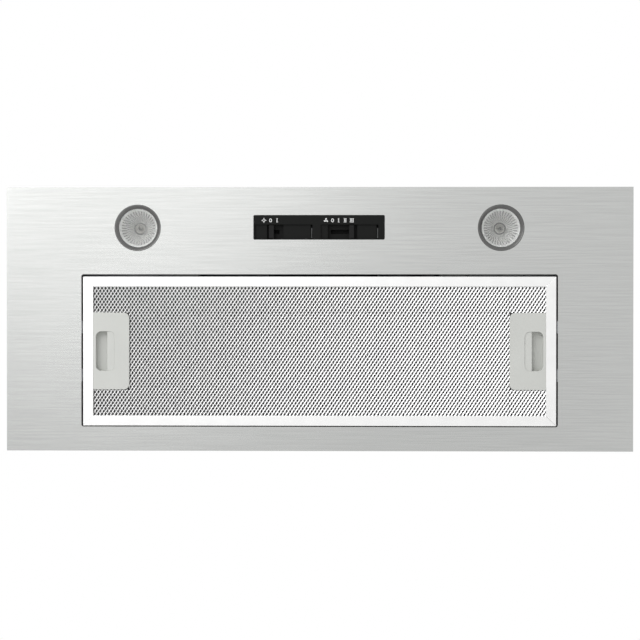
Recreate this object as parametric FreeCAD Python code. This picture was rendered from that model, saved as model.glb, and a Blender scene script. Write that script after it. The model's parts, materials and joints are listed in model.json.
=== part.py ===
import FreeCAD
import Part
import math
import os

# Range hood insert, built in millimetres.
# Origin: middle of the face plate's visible lower face. +X runs along the plate to the right as seen
# from below with the controls at the top, +Y runs to the wall, +Z runs up into the cabinet.

V = FreeCAD.Vector
ORIGIN = V(0, 0, 0)
X_AXIS = V(1, 0, 0)
Y_AXIS = V(0, 1, 0)
Z_AXIS = V(0, 0, 1)

# ---------------------------------------------------------------- face plate
plate_x = 700.0
plate_y = 295.0
plate_sheet = 1.0
plate_return = 8.0
aperture_side_margin = 83.75
aperture_y = 170.5
aperture_centre_y = 35.2
aperture_corner = 2.5
aperture_flange = 12.0
seat_tab_x = 30.0
seat_tab_reach = 7.0
seat_tab_pitch = 300.0
lamp_pitch = 406.0
lamp_y = -102.0
lamp_hole_radius = 26.0
control_x = 146.8
control_y = 27.5
control_centre_y = -102.5
control_corner = 1.5

# ---------------------------------------------------------------- grease filter
filter_front_gap = 2.5
filter_rear_gap = 1.0
filter_side_gap = 1.75
filter_recess = 0.4
filter_depth = 9.5
rail_band = 11.4
rail_sheet = 0.8
mesh_sheet = 0.8
mesh_pitch_x = 17.6
mesh_pitch_y = 26.8
mesh_strand = 3.2
filter_slip = 0.3

# ---------------------------------------------------------------- filter latches
latch_y = 86.0
latch_corner = 6.0
latch_wall = 1.2
latch_depth = 11.0
latch_inset = 1.5
latch_side_inset = 2.5
latch_travel = 6.0
grip_x = 20.6
grip_y = 44.0
grip_corner = 6.0
grip_edge = 3.1
grip_tab = 8.0
tab_x = 9.3
tab_lap = 2.0
tab_height = 6.0
tongue_y = 8.0
tongue_depth = 3.0
tongue_rise = 3.5
tongue_gap = 0.3
slide_gap = 0.2
pocket_wall = 0.8
latch_spring_radius = 2.2
latch_spring_wire = 0.5
latch_spring_turns = 7
latch_spring_room = 6.8
catch_sheet = 0.4
catch_bead = 0.9
catch_bead_height = 2.0
catch_y = 14.0
catch_grip = 6.0

# ---------------------------------------------------------------- chassis and motor box
steel = 0.8
chassis_side_margin = 18.0
chassis_end_margin = 11.5
chassis_height = 60.0
chassis_flange = 9.0
wall_gap = 4.0
wall_foot = 8.0
loom_hole_radius = 8.0
loom_hole_x = 40.0
loom_hole_drop = 20.0
box_side_room = 92.0
box_end_room = 11.0
box_front_room = 20.0
box_flange = 9.0
side_hole_pitch = 120.0
side_hole_radius = 2.5
side_hole_height = 40.0

# ---------------------------------------------------------------- outlet collar and flaps
collar_radius = 74.5
collar_wall = 1.5
collar_height = 38.0
collar_flange = 11.0
collar_flange_sheet = 2.0
flap_sheet = 1.2
flap_rise = 12.0
flap_edge_gap = 0.6
flap_pin_offset = 5.0
flap_pin_radius = 1.5
flap_pin_fit = 0.05
knuckle_wall = 1.4
knuckle_length = 14.0
knuckle_offset = 34.0
flap_stop = 1.6
flap_seat_gap = 0.3

# ---------------------------------------------------------------- blower
blower_y = 33.0
blower_z = 128.0
impeller_radius = 62.0
impeller_width = 100.0
impeller_sheet = 1.5
impeller_blades = 30
blade_depth = 11.0
blade_sheet = 1.0
blade_lean = 9.0
blade_bow = 0.65
impeller_end_gap = 6.0
tongue_clearance = 6.75
scroll_step = 10.5
casing_wall = 1.5
duct_rise = 17.45
inlet_radius = 50.5
inlet_lip = 3.5
casing_lug = 10.0
casing_lug_depth = 5.0
outlet_flange = 9.0
outlet_flange_sheet = 2.0

# ---------------------------------------------------------------- motor
motor_radius = 42.0
motor_stack = 26.0
motor_hub_gap = 12.0
motor_nose = 10.5
motor_cover_wall = 1.5
winding_length = 5.0
winding_inner = 24.0
winding_round = 1.75
rotor_radius = 22.0
rotor_gap = 0.4
shaft_radius = 4.0
shaft_fit = 0.03
shaft_tip = 14.0
hub_radius = 11.0
bearing_radius = 8.0
bearing_length = 7.0
bracket_sheet = 1.5
bracket_ring = 9.0
bracket_arm = 12.0
bracket_reach = 66.0
grommet_radius = 7.0
grommet_height = 4.0

# ---------------------------------------------------------------- lamps
lamp_ring_clear = 0.3
lamp_ring_flange = 4.0
lamp_ring_sheet = 1.4
lamp_view_radius = 21.4
lamp_dish = 2.6
lamp_seat = 1.0
lamp_glass_sheet = 2.0
lamp_glass_radius = 24.0
reflector_depth = 24.0
reflector_wall = 1.5
reflector_neck = 7.0
capsule_radius = 4.4
capsule_length = 11.0
capsule_dome = 3.5
capsule_pin_radius = 0.4
socket_x = 16.0
socket_y = 12.0
socket_z = 11.0
lamp_cup_radius = 28.0
lamp_cup_wall = 1.2
lamp_ear_reach = 36.5
lamp_ear_width = 9.0

# ---------------------------------------------------------------- controls
bezel_clear = 0.2
bezel_recess = 0.5
bezel_sheet = 2.0
bezel_lap = 5.0
bezel_ear = 9.0
window_x = 64.6
window_y = 16.1
light_window_x = -39.65
fan_window_x = 34.0
window_centre_y = -97.6
pocket_depth = 9.0
pocket_skin = 1.2
block_recess = 3.0
block_facet = 2.2
light_slot_start = 13.55
light_slot_length = 18.5
fan_slot_start = 8.0
fan_slot_length = 33.0
knob_x = 5.3
knob_y = 14.5
knob_recess = 0.9
knob_skin = 2.6
knob_side_skin = 1.3
stem_x = 2.4
stem_y = 4.0
stem_length = 13.0
slit_gap = 0.4
light_knob_x = -53.3
light_travel = 7.3
fan_knob_x = 36.3
fan_travel = 21.9
switch_y = 12.0
switch_z = 11.0
switch_wall = 1.2
switch_end_room = 8.0
carrier_sheet = 1.0

# ---------------------------------------------------------------- electrical parts and fixings
junction_x = 80.0
junction_y = 60.0
junction_z = 32.0
junction_wall = 2.0
junction_centre_x = -215.0
junction_centre_y = 50.0
junction_lid = 3.0
gland_hole_radius = 4.0
gland_radius = 8.0
gland_length = 12.0
gland_thread_radius = 6.0
gland_cap_radius = 6.4
terminal_x = 44.0
terminal_y = 16.0
terminal_z = 14.0
terminal_poles = 4
terminal_screw_radius = 2.75
terminal_wire_radius = 2.2
capacitor_radius = 15.0
capacitor_length = 56.0
capacitor_x = -120.0
capacitor_z = 34.0
clip_foot_rise = 22.5
transformer_x = 80.0
transformer_y = 32.0
transformer_z = 30.0
transformer_centre_x = 125.0
transformer_rise = 14.0
transformer_round = 2.0
clip_sheet = 1.0
stud_radius = 1.5
stud_length = 9.0
nut_across = 5.5
nut_height = 2.4
screw_radius = 2.0
screw_head_radius = 3.8
screw_head_height = 2.2
screw_drive_radius = 1.8
screw_reach = 4.0
clamp_y = 26.0
clamp_height = 34.0
clamp_reach = 9.0
clamp_sheet = 1.2
clamp_pitch = 90.0

# ---------------------------------------------------------------- places worked out from the sizes
plate_top = plate_sheet
aperture_x = plate_x - 2 * aperture_side_margin
chassis_x = plate_x - 2 * chassis_side_margin
chassis_y = plate_y - 2 * chassis_end_margin
filter_x = aperture_x - 2 * filter_side_gap
filter_y = aperture_y - filter_front_gap - filter_rear_gap
filter_centre_y = aperture_centre_y + (filter_front_gap - filter_rear_gap) / 2
filter_z = filter_recess
filter_top = filter_z + filter_depth
aperture_front = aperture_centre_y - aperture_y / 2
aperture_side = aperture_x / 2
rail_inner_x = filter_x / 2 - rail_band
chassis_top = plate_top + chassis_height
wall_y = aperture_front - plate_sheet - wall_gap
impeller_end = impeller_width / 2
casing_inner = impeller_end + impeller_end_gap
casing_outer = casing_inner + casing_wall
scroll_first = impeller_radius + tongue_clearance + scroll_step / 2
scroll_top_y = blower_y + scroll_step / 2
scroll_low_y = blower_y - scroll_step / 2
scroll_low_z = blower_z - scroll_step / 2
scroll_high_z = blower_z + scroll_step / 2
scroll_front = scroll_low_y - scroll_first - 2 * scroll_step
scroll_rear = scroll_top_y + scroll_first
box_half_x = casing_outer + box_side_room + steel
box_front = scroll_front - box_front_room - steel
box_rear = scroll_rear + box_end_room + steel
casing_top = scroll_low_z + scroll_first + duct_rise
box_top = casing_top + steel
outlet_y = (scroll_front + scroll_top_y) / 2
collar_bore = collar_radius - collar_wall
collar_base = box_top + collar_flange_sheet
collar_top = box_top + collar_height
flap_z = collar_base + flap_rise


# ---------------------------------------------------------------- plain shapes
def box(x0, x1, y0, y1, z0, z1):
    return Part.makeBox(x1 - x0, y1 - y0, z1 - z0, V(x0, y0, z0))


def block(centre_x, centre_y, size_x, size_y, z0, z1):
    half_x, half_y = size_x / 2, size_y / 2
    return box(centre_x - half_x, centre_x + half_x, centre_y - half_y, centre_y + half_y, z0, z1)


def rod(radius, start, end):
    run = end - start
    return Part.makeCylinder(radius, run.Length, start, run)


def ring(outer, inner, start, end):
    return rod(outer, start, end).cut(rod(inner, start, end))


def joined(shapes):
    first = shapes[0]
    if len(shapes) > 1:
        first = first.multiFuse(shapes[1:])
    return first.removeSplitter()


def group(shapes):
    return Part.makeCompound(shapes)


def mirrored(shape):
    return shape.mirror(ORIGIN, X_AXIS)


def moved(shape, x, y, z):
    copy = shape.copy()
    copy.translate(V(x, y, z))
    return copy


def turned(shape, centre, axis, degrees):
    copy = shape.copy()
    copy.rotate(centre, axis, degrees)
    return copy


def prism(points, run):
    wire = Part.makePolygon(points + [points[0]])
    return Part.Face(wire).extrude(run)


def rounded(centre_x, centre_y, size_x, size_y, z0, z1, radius):
    # An upright block whose four upright edges are rounded.
    solid = block(centre_x, centre_y, size_x, size_y, z0, z1)
    upright = [edge for edge in solid.Edges if is_upright(edge)]
    return solid.makeFillet(radius, upright)


def is_upright(edge):
    low, high = edge.Vertexes[0].Point, edge.Vertexes[-1].Point
    return abs(low.x - high.x) < 1e-6 and abs(low.y - high.y) < 1e-6


def hexagon(across, centre, height):
    corner = across / math.sqrt(3)
    points = []
    for step in range(6):
        angle = math.radians(60 * step)
        points.append(centre + V(corner * math.cos(angle), corner * math.sin(angle), 0))
    return prism(points, V(0, 0, height))


def screw(head, direction, reach):
    # A pan-head screw whose head stands on the point `head`, with its shank running along `direction`.
    inward = V(direction).normalize()
    shank = rod(screw_radius, head, head + inward * reach)
    cap = rod(screw_head_radius, head - inward * screw_head_height, head)
    slot_depth = screw_head_height / 2
    drive = rod(screw_drive_radius, head - inward * screw_head_height, head - inward * slot_depth)
    return shank.fuse(cap).cut(drive)


# ---------------------------------------------------------------- face plate, chassis and motor box
def face_plate():
    return_top = plate_top + plate_return
    tray = block(0, 0, plate_x, plate_y, 0, return_top)
    tray = tray.cut(block(0, 0, plate_x - 2 * plate_sheet, plate_y - 2 * plate_sheet, plate_top, return_top))
    flange_top = plate_top + aperture_flange
    rim = rounded(0, aperture_centre_y, aperture_x + 2 * plate_sheet, aperture_y + 2 * plate_sheet,
                  0, flange_top, aperture_corner + plate_sheet)
    well = rounded(0, aperture_centre_y, aperture_x, aperture_y, 0, flange_top, aperture_corner)
    plate = tray.fuse(rim).cut(well)
    tab_z = filter_top + filter_slip
    tab_top = tab_z + plate_sheet
    half_sheet = plate_sheet / 2
    aperture_rear = aperture_front + aperture_y
    for side in (-1, 1):
        tab_x = side * seat_tab_pitch / 2
        x0, x1 = tab_x - seat_tab_x / 2, tab_x + seat_tab_x / 2
        for y0, y1 in ((aperture_front - half_sheet, aperture_front + seat_tab_reach),
                       (aperture_rear - seat_tab_reach, aperture_rear + half_sheet)):
            plate = plate.fuse(box(x0, x1, y0, y1, tab_z, tab_top))
        lamp_at = V(side * lamp_pitch / 2, lamp_y, 0)
        plate = plate.cut(rod(lamp_hole_radius, lamp_at, lamp_at + Z_AXIS * plate_top))
    plate = plate.cut(rounded(0, control_centre_y, control_x, control_y, 0, plate_top, control_corner))
    return plate.removeSplitter()


def side_hole_ends(side):
    # Screw holes in one end wall of the chassis, as pairs of points through the wall.
    wall = side * chassis_x / 2
    ends = []
    for place in (-1, 1):
        hole_y = place * side_hole_pitch / 2
        z = plate_top + side_hole_height
        ends.append((V(wall - side * steel, hole_y, z), V(wall, hole_y, z)))
    return ends


def chassis():
    inner_x, inner_y = chassis_x - 2 * steel, chassis_y - 2 * steel
    flange_x, flange_y = chassis_x + 2 * chassis_flange, chassis_y + 2 * chassis_flange
    shell = block(0, 0, chassis_x, chassis_y, plate_top, chassis_top)
    shell = shell.cut(block(0, 0, inner_x, inner_y, plate_top, chassis_top - steel))
    flange = block(0, 0, flange_x, flange_y, plate_top, plate_top + steel)
    flange = flange.cut(block(0, 0, inner_x, inner_y, plate_top, plate_top + steel))
    shell = shell.fuse(flange)
    air_half_x = box_half_x - steel - box_flange
    air_low_y, air_high_y = wall_y + wall_gap, box_rear - steel
    shell = shell.cut(box(-air_half_x, air_half_x, air_low_y, air_high_y, chassis_top - steel, chassis_top))
    for side in (-1, 1):
        for start, end in side_hole_ends(side):
            shell = shell.cut(rod(side_hole_radius, start, end))
    return shell.removeSplitter()


def compartment_wall():
    half_x = chassis_x / 2 - steel
    wall = box(-half_x, half_x, wall_y - steel, wall_y, plate_top, chassis_top - steel)
    foot = box(-half_x, half_x, wall_y - wall_foot, wall_y, plate_top, plate_top + steel)
    head = box(-half_x, half_x, wall_y - wall_foot, wall_y, chassis_top - 2 * steel, chassis_top - steel)
    wall = wall.fuse([foot, head])
    loom_hole = V(loom_hole_x, wall_y - steel, chassis_top - loom_hole_drop)
    wall = wall.cut(rod(loom_hole_radius, loom_hole, loom_hole + Y_AXIS * steel))
    return wall.removeSplitter()


def motor_box():
    outer = box(-box_half_x, box_half_x, box_front, box_rear, chassis_top, box_top)
    brim_x = box_half_x + box_flange
    brim_top = chassis_top + steel
    brim = box(-brim_x, brim_x, box_front - box_flange, box_rear + box_flange, chassis_top, brim_top)
    inner_x = box_half_x - steel
    room = box(-inner_x, inner_x, box_front + steel, box_rear - steel, chassis_top, box_top - steel)
    shell = outer.fuse(brim).cut(room)
    outlet = V(0, outlet_y, box_top - steel)
    shell = shell.cut(rod(collar_bore, outlet, outlet + Z_AXIS * steel))
    return shell.removeSplitter()


# ---------------------------------------------------------------- outlet collar and its flaps
def collar_point(z):
    return V(0, outlet_y, z)


def pin_ends(side):
    reach = math.sqrt(collar_radius ** 2 - flap_pin_offset ** 2)
    x = side * flap_pin_offset
    return V(x, outlet_y - reach, flap_z), V(x, outlet_y + reach, flap_z)


def outlet_collar():
    flange_radius = collar_radius + collar_flange
    tube = ring(collar_radius, collar_bore, collar_point(box_top), collar_point(collar_top))
    flange = ring(flange_radius, collar_bore, collar_point(box_top), collar_point(collar_base))
    stop_top = flap_z - flap_sheet / 2 - flap_seat_gap
    stop_low = stop_top - flap_stop
    stop = ring(collar_bore, collar_bore - flap_stop, collar_point(stop_low), collar_point(stop_top))
    bead_radius = collar_radius + collar_wall / 2
    bead = ring(bead_radius, collar_bore, collar_point(collar_base), collar_point(collar_base + collar_wall))
    collar = joined([tube, flange, stop, bead])
    for side in (-1, 1):
        start, end = pin_ends(side)
        collar = collar.cut(rod(flap_pin_radius, start - Y_AXIS, end + Y_AXIS))
    return collar


def damper_pins():
    # Both pins end flush with the collar's outside.
    pins = []
    wall_limit = rod(collar_radius, collar_point(box_top), collar_point(collar_top))
    for side in (-1, 1):
        start, end = pin_ends(side)
        pins.append(rod(flap_pin_radius, start, end).common(wall_limit))
    return group(pins)


def damper_flap(side):
    # A half disc with two knuckles, hinged on its pin and lying flat over the stop.
    disc_radius = collar_bore - flap_edge_gap
    low, high = collar_point(flap_z - flap_sheet / 2), collar_point(flap_z + flap_sheet / 2)
    edge_x = flap_pin_offset
    disc = rod(disc_radius, low, high)
    disc_front, disc_rear = outlet_y - disc_radius, outlet_y + disc_radius
    plate = disc.common(box(edge_x, disc_radius, disc_front, disc_rear, low.z, high.z))
    knuckle_radius = flap_pin_radius + flap_pin_fit + knuckle_wall
    relief = knuckle_radius + flap_edge_gap / 2
    pin_low, pin_high = V(edge_x, disc_front, flap_z), V(edge_x, disc_rear, flap_z)
    plate = plate.cut(rod(flap_pin_radius + flap_edge_gap / 2, pin_low, pin_high))
    knuckles = []
    for place in (-1, 1):
        middle = outlet_y + place * knuckle_offset
        start = V(edge_x, middle - knuckle_length / 2, flap_z)
        end = V(edge_x, middle + knuckle_length / 2, flap_z)
        web = box(edge_x, edge_x + relief + flap_sheet, start.y, end.y, low.z, high.z)
        knuckles.append(rod(knuckle_radius, start, end).fuse(web))
    rib = box(edge_x + relief + flap_sheet, disc_radius - knuckle_length / 2,
              outlet_y - flap_sheet, outlet_y + flap_sheet, high.z, high.z + 2 * flap_sheet)
    flap = joined([plate, rib] + knuckles)
    flap = flap.cut(rod(flap_pin_radius + flap_pin_fit, pin_low, pin_high))
    return flap if side > 0 else mirrored(flap)


# ---------------------------------------------------------------- blower
def axle(x):
    return V(x, blower_y, blower_z)


def scroll_face(inset, top):
    # Three quarter arcs of growing radius, then the straight outlet duct up to `top`, at x = 0.
    radii = [scroll_first - inset + step * scroll_step for step in range(3)]
    half = math.sqrt(0.5)
    crown = V(0, scroll_top_y, scroll_low_z + radii[0])
    rear = V(0, scroll_top_y + radii[0], scroll_low_z)
    bottom = V(0, scroll_low_y, scroll_low_z - radii[1])
    front = V(0, scroll_low_y - radii[2], scroll_high_z)
    first_mid = V(0, scroll_top_y + radii[0] * half, scroll_low_z + radii[0] * half)
    # The middle arc goes from the rear to the bottom about the low centre.
    second_mid = V(0, scroll_low_y + radii[1] * half, scroll_low_z - radii[1] * half)
    third_mid = V(0, scroll_low_y - radii[2] * half, scroll_high_z - radii[2] * half)
    duct_y = scroll_top_y - inset
    corners = [front, V(0, front.y, top), V(0, duct_y, top), V(0, duct_y, crown.z), crown]
    edges = [Part.Arc(crown, first_mid, rear).toShape(), Part.Arc(rear, second_mid, bottom).toShape(),
             Part.Arc(bottom, third_mid, front).toShape()]
    for start, end in zip(corners, corners[1:]):
        if (end - start).Length > 1e-6:
            edges.append(Part.makeLine(start, end))
    return Part.Face(Part.Wire(edges))


def casing_lug_places():
    # Lugs round the scroll where a screw joins the two halves: one on the middle of each arc and one
    # on each wall of the duct, as (y, z).
    out = casing_lug / 2
    diagonal = math.sqrt(0.5)
    centres = ((scroll_top_y, scroll_low_z, 1, 1), (scroll_low_y, scroll_low_z, 1, -1),
               (scroll_low_y, scroll_high_z, -1, -1))
    places = []
    for step, (y, z, along_y, along_z) in enumerate(centres):
        reach = (scroll_first + step * scroll_step + out) * diagonal
        places.append((y + along_y * reach, z + along_z * reach))
    duct_z = (scroll_low_z + scroll_first + casing_top) / 2
    places.append((scroll_front - out, duct_z - casing_lug))
    places.append((scroll_top_y + out, duct_z))
    return places


def fan_casing(side):
    # One half of the scroll: rim, side wall with inlet lip, joining lugs and outlet flange.
    outer = scroll_face(0, casing_top).extrude(V(casing_outer, 0, 0))
    hollow = scroll_face(casing_wall, casing_top).extrude(V(casing_inner, 0, 0))
    lip_start = casing_inner - inlet_lip
    lip = ring(inlet_radius + casing_wall, inlet_radius, axle(lip_start), axle(casing_inner))
    flange = box(0, casing_outer + outlet_flange, scroll_front - outlet_flange, scroll_top_y + outlet_flange,
                 casing_top - outlet_flange_sheet, casing_top)
    mouth = box(0, casing_inner, scroll_front + casing_wall, scroll_top_y - casing_wall,
                casing_top - outlet_flange_sheet, casing_top)
    solids = [outer, flange]
    for y, z in casing_lug_places():
        solids.append(rod(casing_lug / 2 + casing_wall / 2, V(0, y, z), V(casing_lug_depth, y, z)))
    casing = solids[0].multiFuse(solids[1:]).cut(hollow).cut(mouth)
    casing = casing.cut(rod(inlet_radius, axle(0), axle(casing_outer))).fuse(lip).removeSplitter()
    for y, z in casing_lug_places():
        casing = casing.cut(rod(screw_radius, V(0, y, z), V(casing_lug_depth, y, z)))
    return casing if side > 0 else mirrored(casing)


def casing_screws():
    screws = []
    for y, z in casing_lug_places():
        screws.append(screw(V(casing_lug_depth, y, z), -X_AXIS, 2 * casing_lug_depth))
    return group(screws)


def blade_face(index):
    # A forward-curved blade as a thin band between two arcs, seen along the axle.
    start = 360.0 * index / impeller_blades
    inner, outer = impeller_radius - blade_depth, impeller_radius - impeller_sheet / 2
    middle = (inner + outer) / 2
    sides = []
    for edge in (-1, 1):
        band = []
        for radius, share in ((inner, 0.0), (middle, blade_bow), (outer, 1.0)):
            shift = math.degrees(edge * blade_sheet / 2 / radius)
            angle = math.radians(start + share * blade_lean + shift)
            band.append(V(0, blower_y + radius * math.cos(angle), blower_z + radius * math.sin(angle)))
        sides.append(band)
    low, high = sides
    edges = [Part.Arc(*low).toShape(), Part.makeLine(low[2], high[2]),
             Part.Arc(high[2], high[1], high[0]).toShape(), Part.makeLine(high[0], low[0])]
    return Part.Face(Part.Wire(edges))


def impeller():
    # Centre disc with hub, a ring of curved blades on both sides and a band round each end.
    half_sheet = impeller_sheet / 2
    disc = rod(impeller_radius, axle(-half_sheet), axle(half_sheet))
    hub = rod(hub_radius, axle(-half_sheet), axle(shaft_tip - half_sheet))
    solids = [disc, hub]
    for index in range(impeller_blades):
        solids.append(moved(blade_face(index).extrude(V(impeller_width, 0, 0)), -impeller_end, 0, 0))
    for side in (-1, 1):
        start, end = axle(side * (impeller_end - 2 * impeller_sheet)), axle(side * impeller_end)
        solids.append(ring(impeller_radius, impeller_radius - blade_depth / 2, start, end))
    wheel = joined(solids)
    return wheel.cut(rod(shaft_radius, axle(-half_sheet), axle(shaft_tip)))


# ---------------------------------------------------------------- motor, hung inside the left inlet
def motor_x(distance):
    # Distance from the impeller disc towards the left inlet.
    return -distance


motor_front = motor_hub_gap
stack_start = motor_front + motor_nose
stack_end = stack_start + motor_stack
motor_back = casing_outer + grommet_height
inner_bearing = motor_front + motor_cover_wall
outer_bearing = motor_back - motor_cover_wall - bearing_length
bolt_reach = motor_radius - screw_radius - motor_cover_wall


def motor_shaft():
    return rod(shaft_radius, axle(motor_x(motor_back - motor_cover_wall - rotor_gap)), axle(shaft_tip))


def rotor_core():
    return ring(rotor_radius, shaft_radius, axle(motor_x(stack_end)), axle(motor_x(stack_start)))


def motor_stator():
    start, end = axle(motor_x(stack_end)), axle(motor_x(stack_start))
    core = ring(motor_radius, rotor_radius + rotor_gap, start, end)
    for y, z in motor_bolts():
        core = core.cut(rod(screw_radius, V(start.x, y, z), V(end.x, y, z)))
    return core


def motor_winding():
    heads = []
    outer = bolt_reach - screw_radius - motor_cover_wall - rotor_gap
    for start in (stack_start - winding_length, stack_end):
        a, b = axle(motor_x(start)), axle(motor_x(start + winding_length))
        head = ring(outer, winding_inner, a, b)
        rims = [edge for edge in head.Edges if isinstance(edge.Curve, Part.Circle)]
        heads.append(head.makeFillet(winding_round, rims))
    return group(heads)


def motor_bolts():
    # Four long bolts through both end covers and the stack, just inside the motor's outer radius.
    places = []
    for step in range(4):
        angle = math.radians(45 + 90 * step)
        places.append((blower_y + bolt_reach * math.cos(angle), blower_z + bolt_reach * math.sin(angle)))
    return places


def motor_end_cover(face, rim, bearing_start):
    # A cup that closes one end of the stack, with a boss for its bearing. Distances run from the disc.
    outward = 1 if face > rim else -1
    cup = rod(motor_radius, axle(motor_x(face)), axle(motor_x(rim)))
    floor = face - outward * motor_cover_wall
    cup = cup.cut(rod(motor_radius - motor_cover_wall, axle(motor_x(floor)), axle(motor_x(rim))))
    boss_radius = bearing_radius + motor_cover_wall
    boss_end = bearing_start if outward > 0 else bearing_start + bearing_length
    cup = cup.fuse(rod(boss_radius, axle(motor_x(face)), axle(motor_x(boss_end))))
    post_radius = screw_radius + motor_cover_wall
    shell = rod(motor_radius, axle(motor_x(face)), axle(motor_x(rim)))
    for y, z in motor_bolts():
        post = rod(post_radius, V(motor_x(face), y, z), V(motor_x(rim), y, z))
        cup = cup.fuse(post.common(shell))
    for y, z in motor_bolts():
        cup = cup.cut(rod(screw_radius, V(motor_x(face), y, z), V(motor_x(rim), y, z)))
    bearing_end = bearing_start + bearing_length
    cup = cup.cut(rod(bearing_radius, axle(motor_x(bearing_start)), axle(motor_x(bearing_end))))
    if outward < 0:
        cup = cup.cut(rod(shaft_radius + rotor_gap, axle(motor_x(face)), axle(motor_x(boss_end))))
    return cup.removeSplitter()


def motor_bearings():
    bushes = []
    for start in (inner_bearing, outer_bearing):
        a, b = axle(motor_x(start)), axle(motor_x(start + bearing_length))
        bushes.append(ring(bearing_radius, shaft_radius + shaft_fit, a, b))
    return group(bushes)


def bracket_places():
    # The three arm ends, as points on the outer face of the left casing wall.
    places = []
    for step in range(3):
        angle = math.radians(90 + 120 * step)
        arm_end = V(0, bracket_reach * math.cos(angle), bracket_reach * math.sin(angle))
        places.append(axle(-casing_outer) + arm_end)
    return places


def motor_bracket():
    near, far = -motor_back, -motor_back - bracket_sheet
    ring_radius = motor_radius - bracket_ring / 2
    plate = ring(motor_radius, ring_radius - bracket_ring, axle(near), axle(far))
    for step, seat in enumerate(bracket_places()):
        arm = box(far, near, blower_y + ring_radius - bracket_ring / 2, blower_y + bracket_reach,
                  blower_z - bracket_arm / 2, blower_z + bracket_arm / 2)
        plate = plate.fuse(turned(arm, axle(0), X_AXIS, 90 + 120 * step))
        tip = V(near, seat.y, seat.z)
        plate = plate.fuse(rod(bracket_arm / 2, tip, V(far, seat.y, seat.z)))
        plate = plate.cut(rod(screw_radius, tip, V(far, seat.y, seat.z)))
    for y, z in motor_bolts():
        plate = plate.cut(rod(screw_radius, V(near, y, z), V(far, y, z)))
    return plate.removeSplitter()


def motor_grommets():
    pads = []
    for seat in bracket_places():
        pads.append(ring(grommet_radius, screw_radius, seat, V(-motor_back, seat.y, seat.z)))
    return group(pads)


def motor_screws():
    # Long bolts through the motor and the screws that hold the bracket's arms.
    face = -motor_back - bracket_sheet
    solids = []
    for y, z in motor_bolts():
        head = V(face, y, z)
        shank = rod(screw_radius, head, V(motor_x(motor_front), y, z))
        solids.append(shank.fuse(rod(screw_head_radius, head - X_AXIS * screw_head_height, head)))
    for seat in bracket_places():
        solids.append(screw(V(face, seat.y, seat.z), X_AXIS, grommet_height + bracket_sheet))
    return group(solids)


# ---------------------------------------------------------------- lamps, each about its own upright axis
lamp_ring_outer = lamp_hole_radius + lamp_ring_flange
lamp_ring_top = plate_top + lamp_ring_sheet
lamp_glass_low = bezel_recess + lamp_dish + lamp_seat
lamp_glass_top = lamp_glass_low + lamp_glass_sheet
reflector_top = lamp_glass_top + reflector_depth
lamp_cup_top = reflector_top + socket_z + lamp_cup_wall


def at_both_lamps(shape):
    return [moved(shape, side * lamp_pitch / 2, lamp_y, 0) for side in (-1, 1)]


def turned_profile(points):
    # A solid turned about the upright axis from a closed outline of (radius, height) points.
    corners = [V(radius, 0, height) for radius, height in points]
    face = Part.Face(Part.makePolygon(corners + [corners[0]]))
    return face.revolve(ORIGIN, Z_AXIS, 360)


def lamp_ears(z0, z1, radius):
    # Two ears along X that stand on the plate and take a stud each.
    bar = block(0, 0, 2 * lamp_ear_reach, lamp_ear_width, z0, z1)
    bar = bar.cut(rod(radius, V(0, 0, z0), V(0, 0, z1)))
    for side in (-1, 1):
        x = side * (lamp_ear_reach - lamp_ear_width / 2)
        bar = bar.cut(rod(stud_radius + bezel_clear, V(x, 0, z0), V(x, 0, z1)))
    return bar


def lamp_ring():
    # The dark dished ring between the hole in the plate and the cover glass.
    throat = lamp_hole_radius - lamp_ring_clear
    seat = lamp_glass_radius + lamp_ring_clear
    low = bezel_recess
    return turned_profile([
        (throat, low), (throat, plate_top), (lamp_ring_outer, plate_top), (lamp_ring_outer, lamp_ring_top),
        (seat + lamp_seat, lamp_ring_top), (seat + lamp_seat, lamp_glass_top), (seat, lamp_glass_top),
        (seat, lamp_glass_low), (lamp_view_radius, lamp_glass_low), (lamp_view_radius, low + lamp_dish),
        (throat - lamp_seat, low)])


def lamp_glass():
    return rod(lamp_glass_radius, V(0, 0, lamp_glass_low), V(0, 0, lamp_glass_top))


def lamp_reflector():
    # A parabolic bowl from the cover glass up to a neck, with the mouth rim resting on the glass.
    mouth = lamp_glass_radius - lamp_ring_clear
    steps = 6
    inner, outer = [], []
    for step in range(steps + 1):
        share = step / steps
        radius = math.sqrt(mouth ** 2 * (1 - share) + reflector_neck ** 2 * share)
        z = lamp_glass_top + reflector_depth * share
        inner.append((radius - reflector_wall, z))
        outer.append((radius, z))
    return turned_profile(outer + inner[::-1])


def lamp_socket():
    body = block(0, 0, socket_x, socket_y, reflector_top, reflector_top + socket_z)
    for side in (-1, 1):
        hole = V(side * capsule_radius / 2, 0, reflector_top)
        body = body.cut(rod(capsule_pin_radius, hole, hole + Z_AXIS * socket_z / 2))
    return body


def lamp_capsule():
    # A small quartz capsule with a domed tip and two pins up into the socket.
    tip_z = reflector_top - capsule_length
    glass = rod(capsule_radius, V(0, 0, tip_z), V(0, 0, reflector_top))
    rims = [edge for edge in glass.Edges if isinstance(edge.Curve, Part.Circle)]
    dome = [rim for rim in rims if rim.Curve.Center.z < tip_z + capsule_radius]
    solid = glass.makeFillet(capsule_dome, dome)
    for side in (-1, 1):
        start = V(side * capsule_radius / 2, 0, reflector_top)
        solid = solid.fuse(rod(capsule_pin_radius, start, start + Z_AXIS * socket_z / 2))
    return solid


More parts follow.
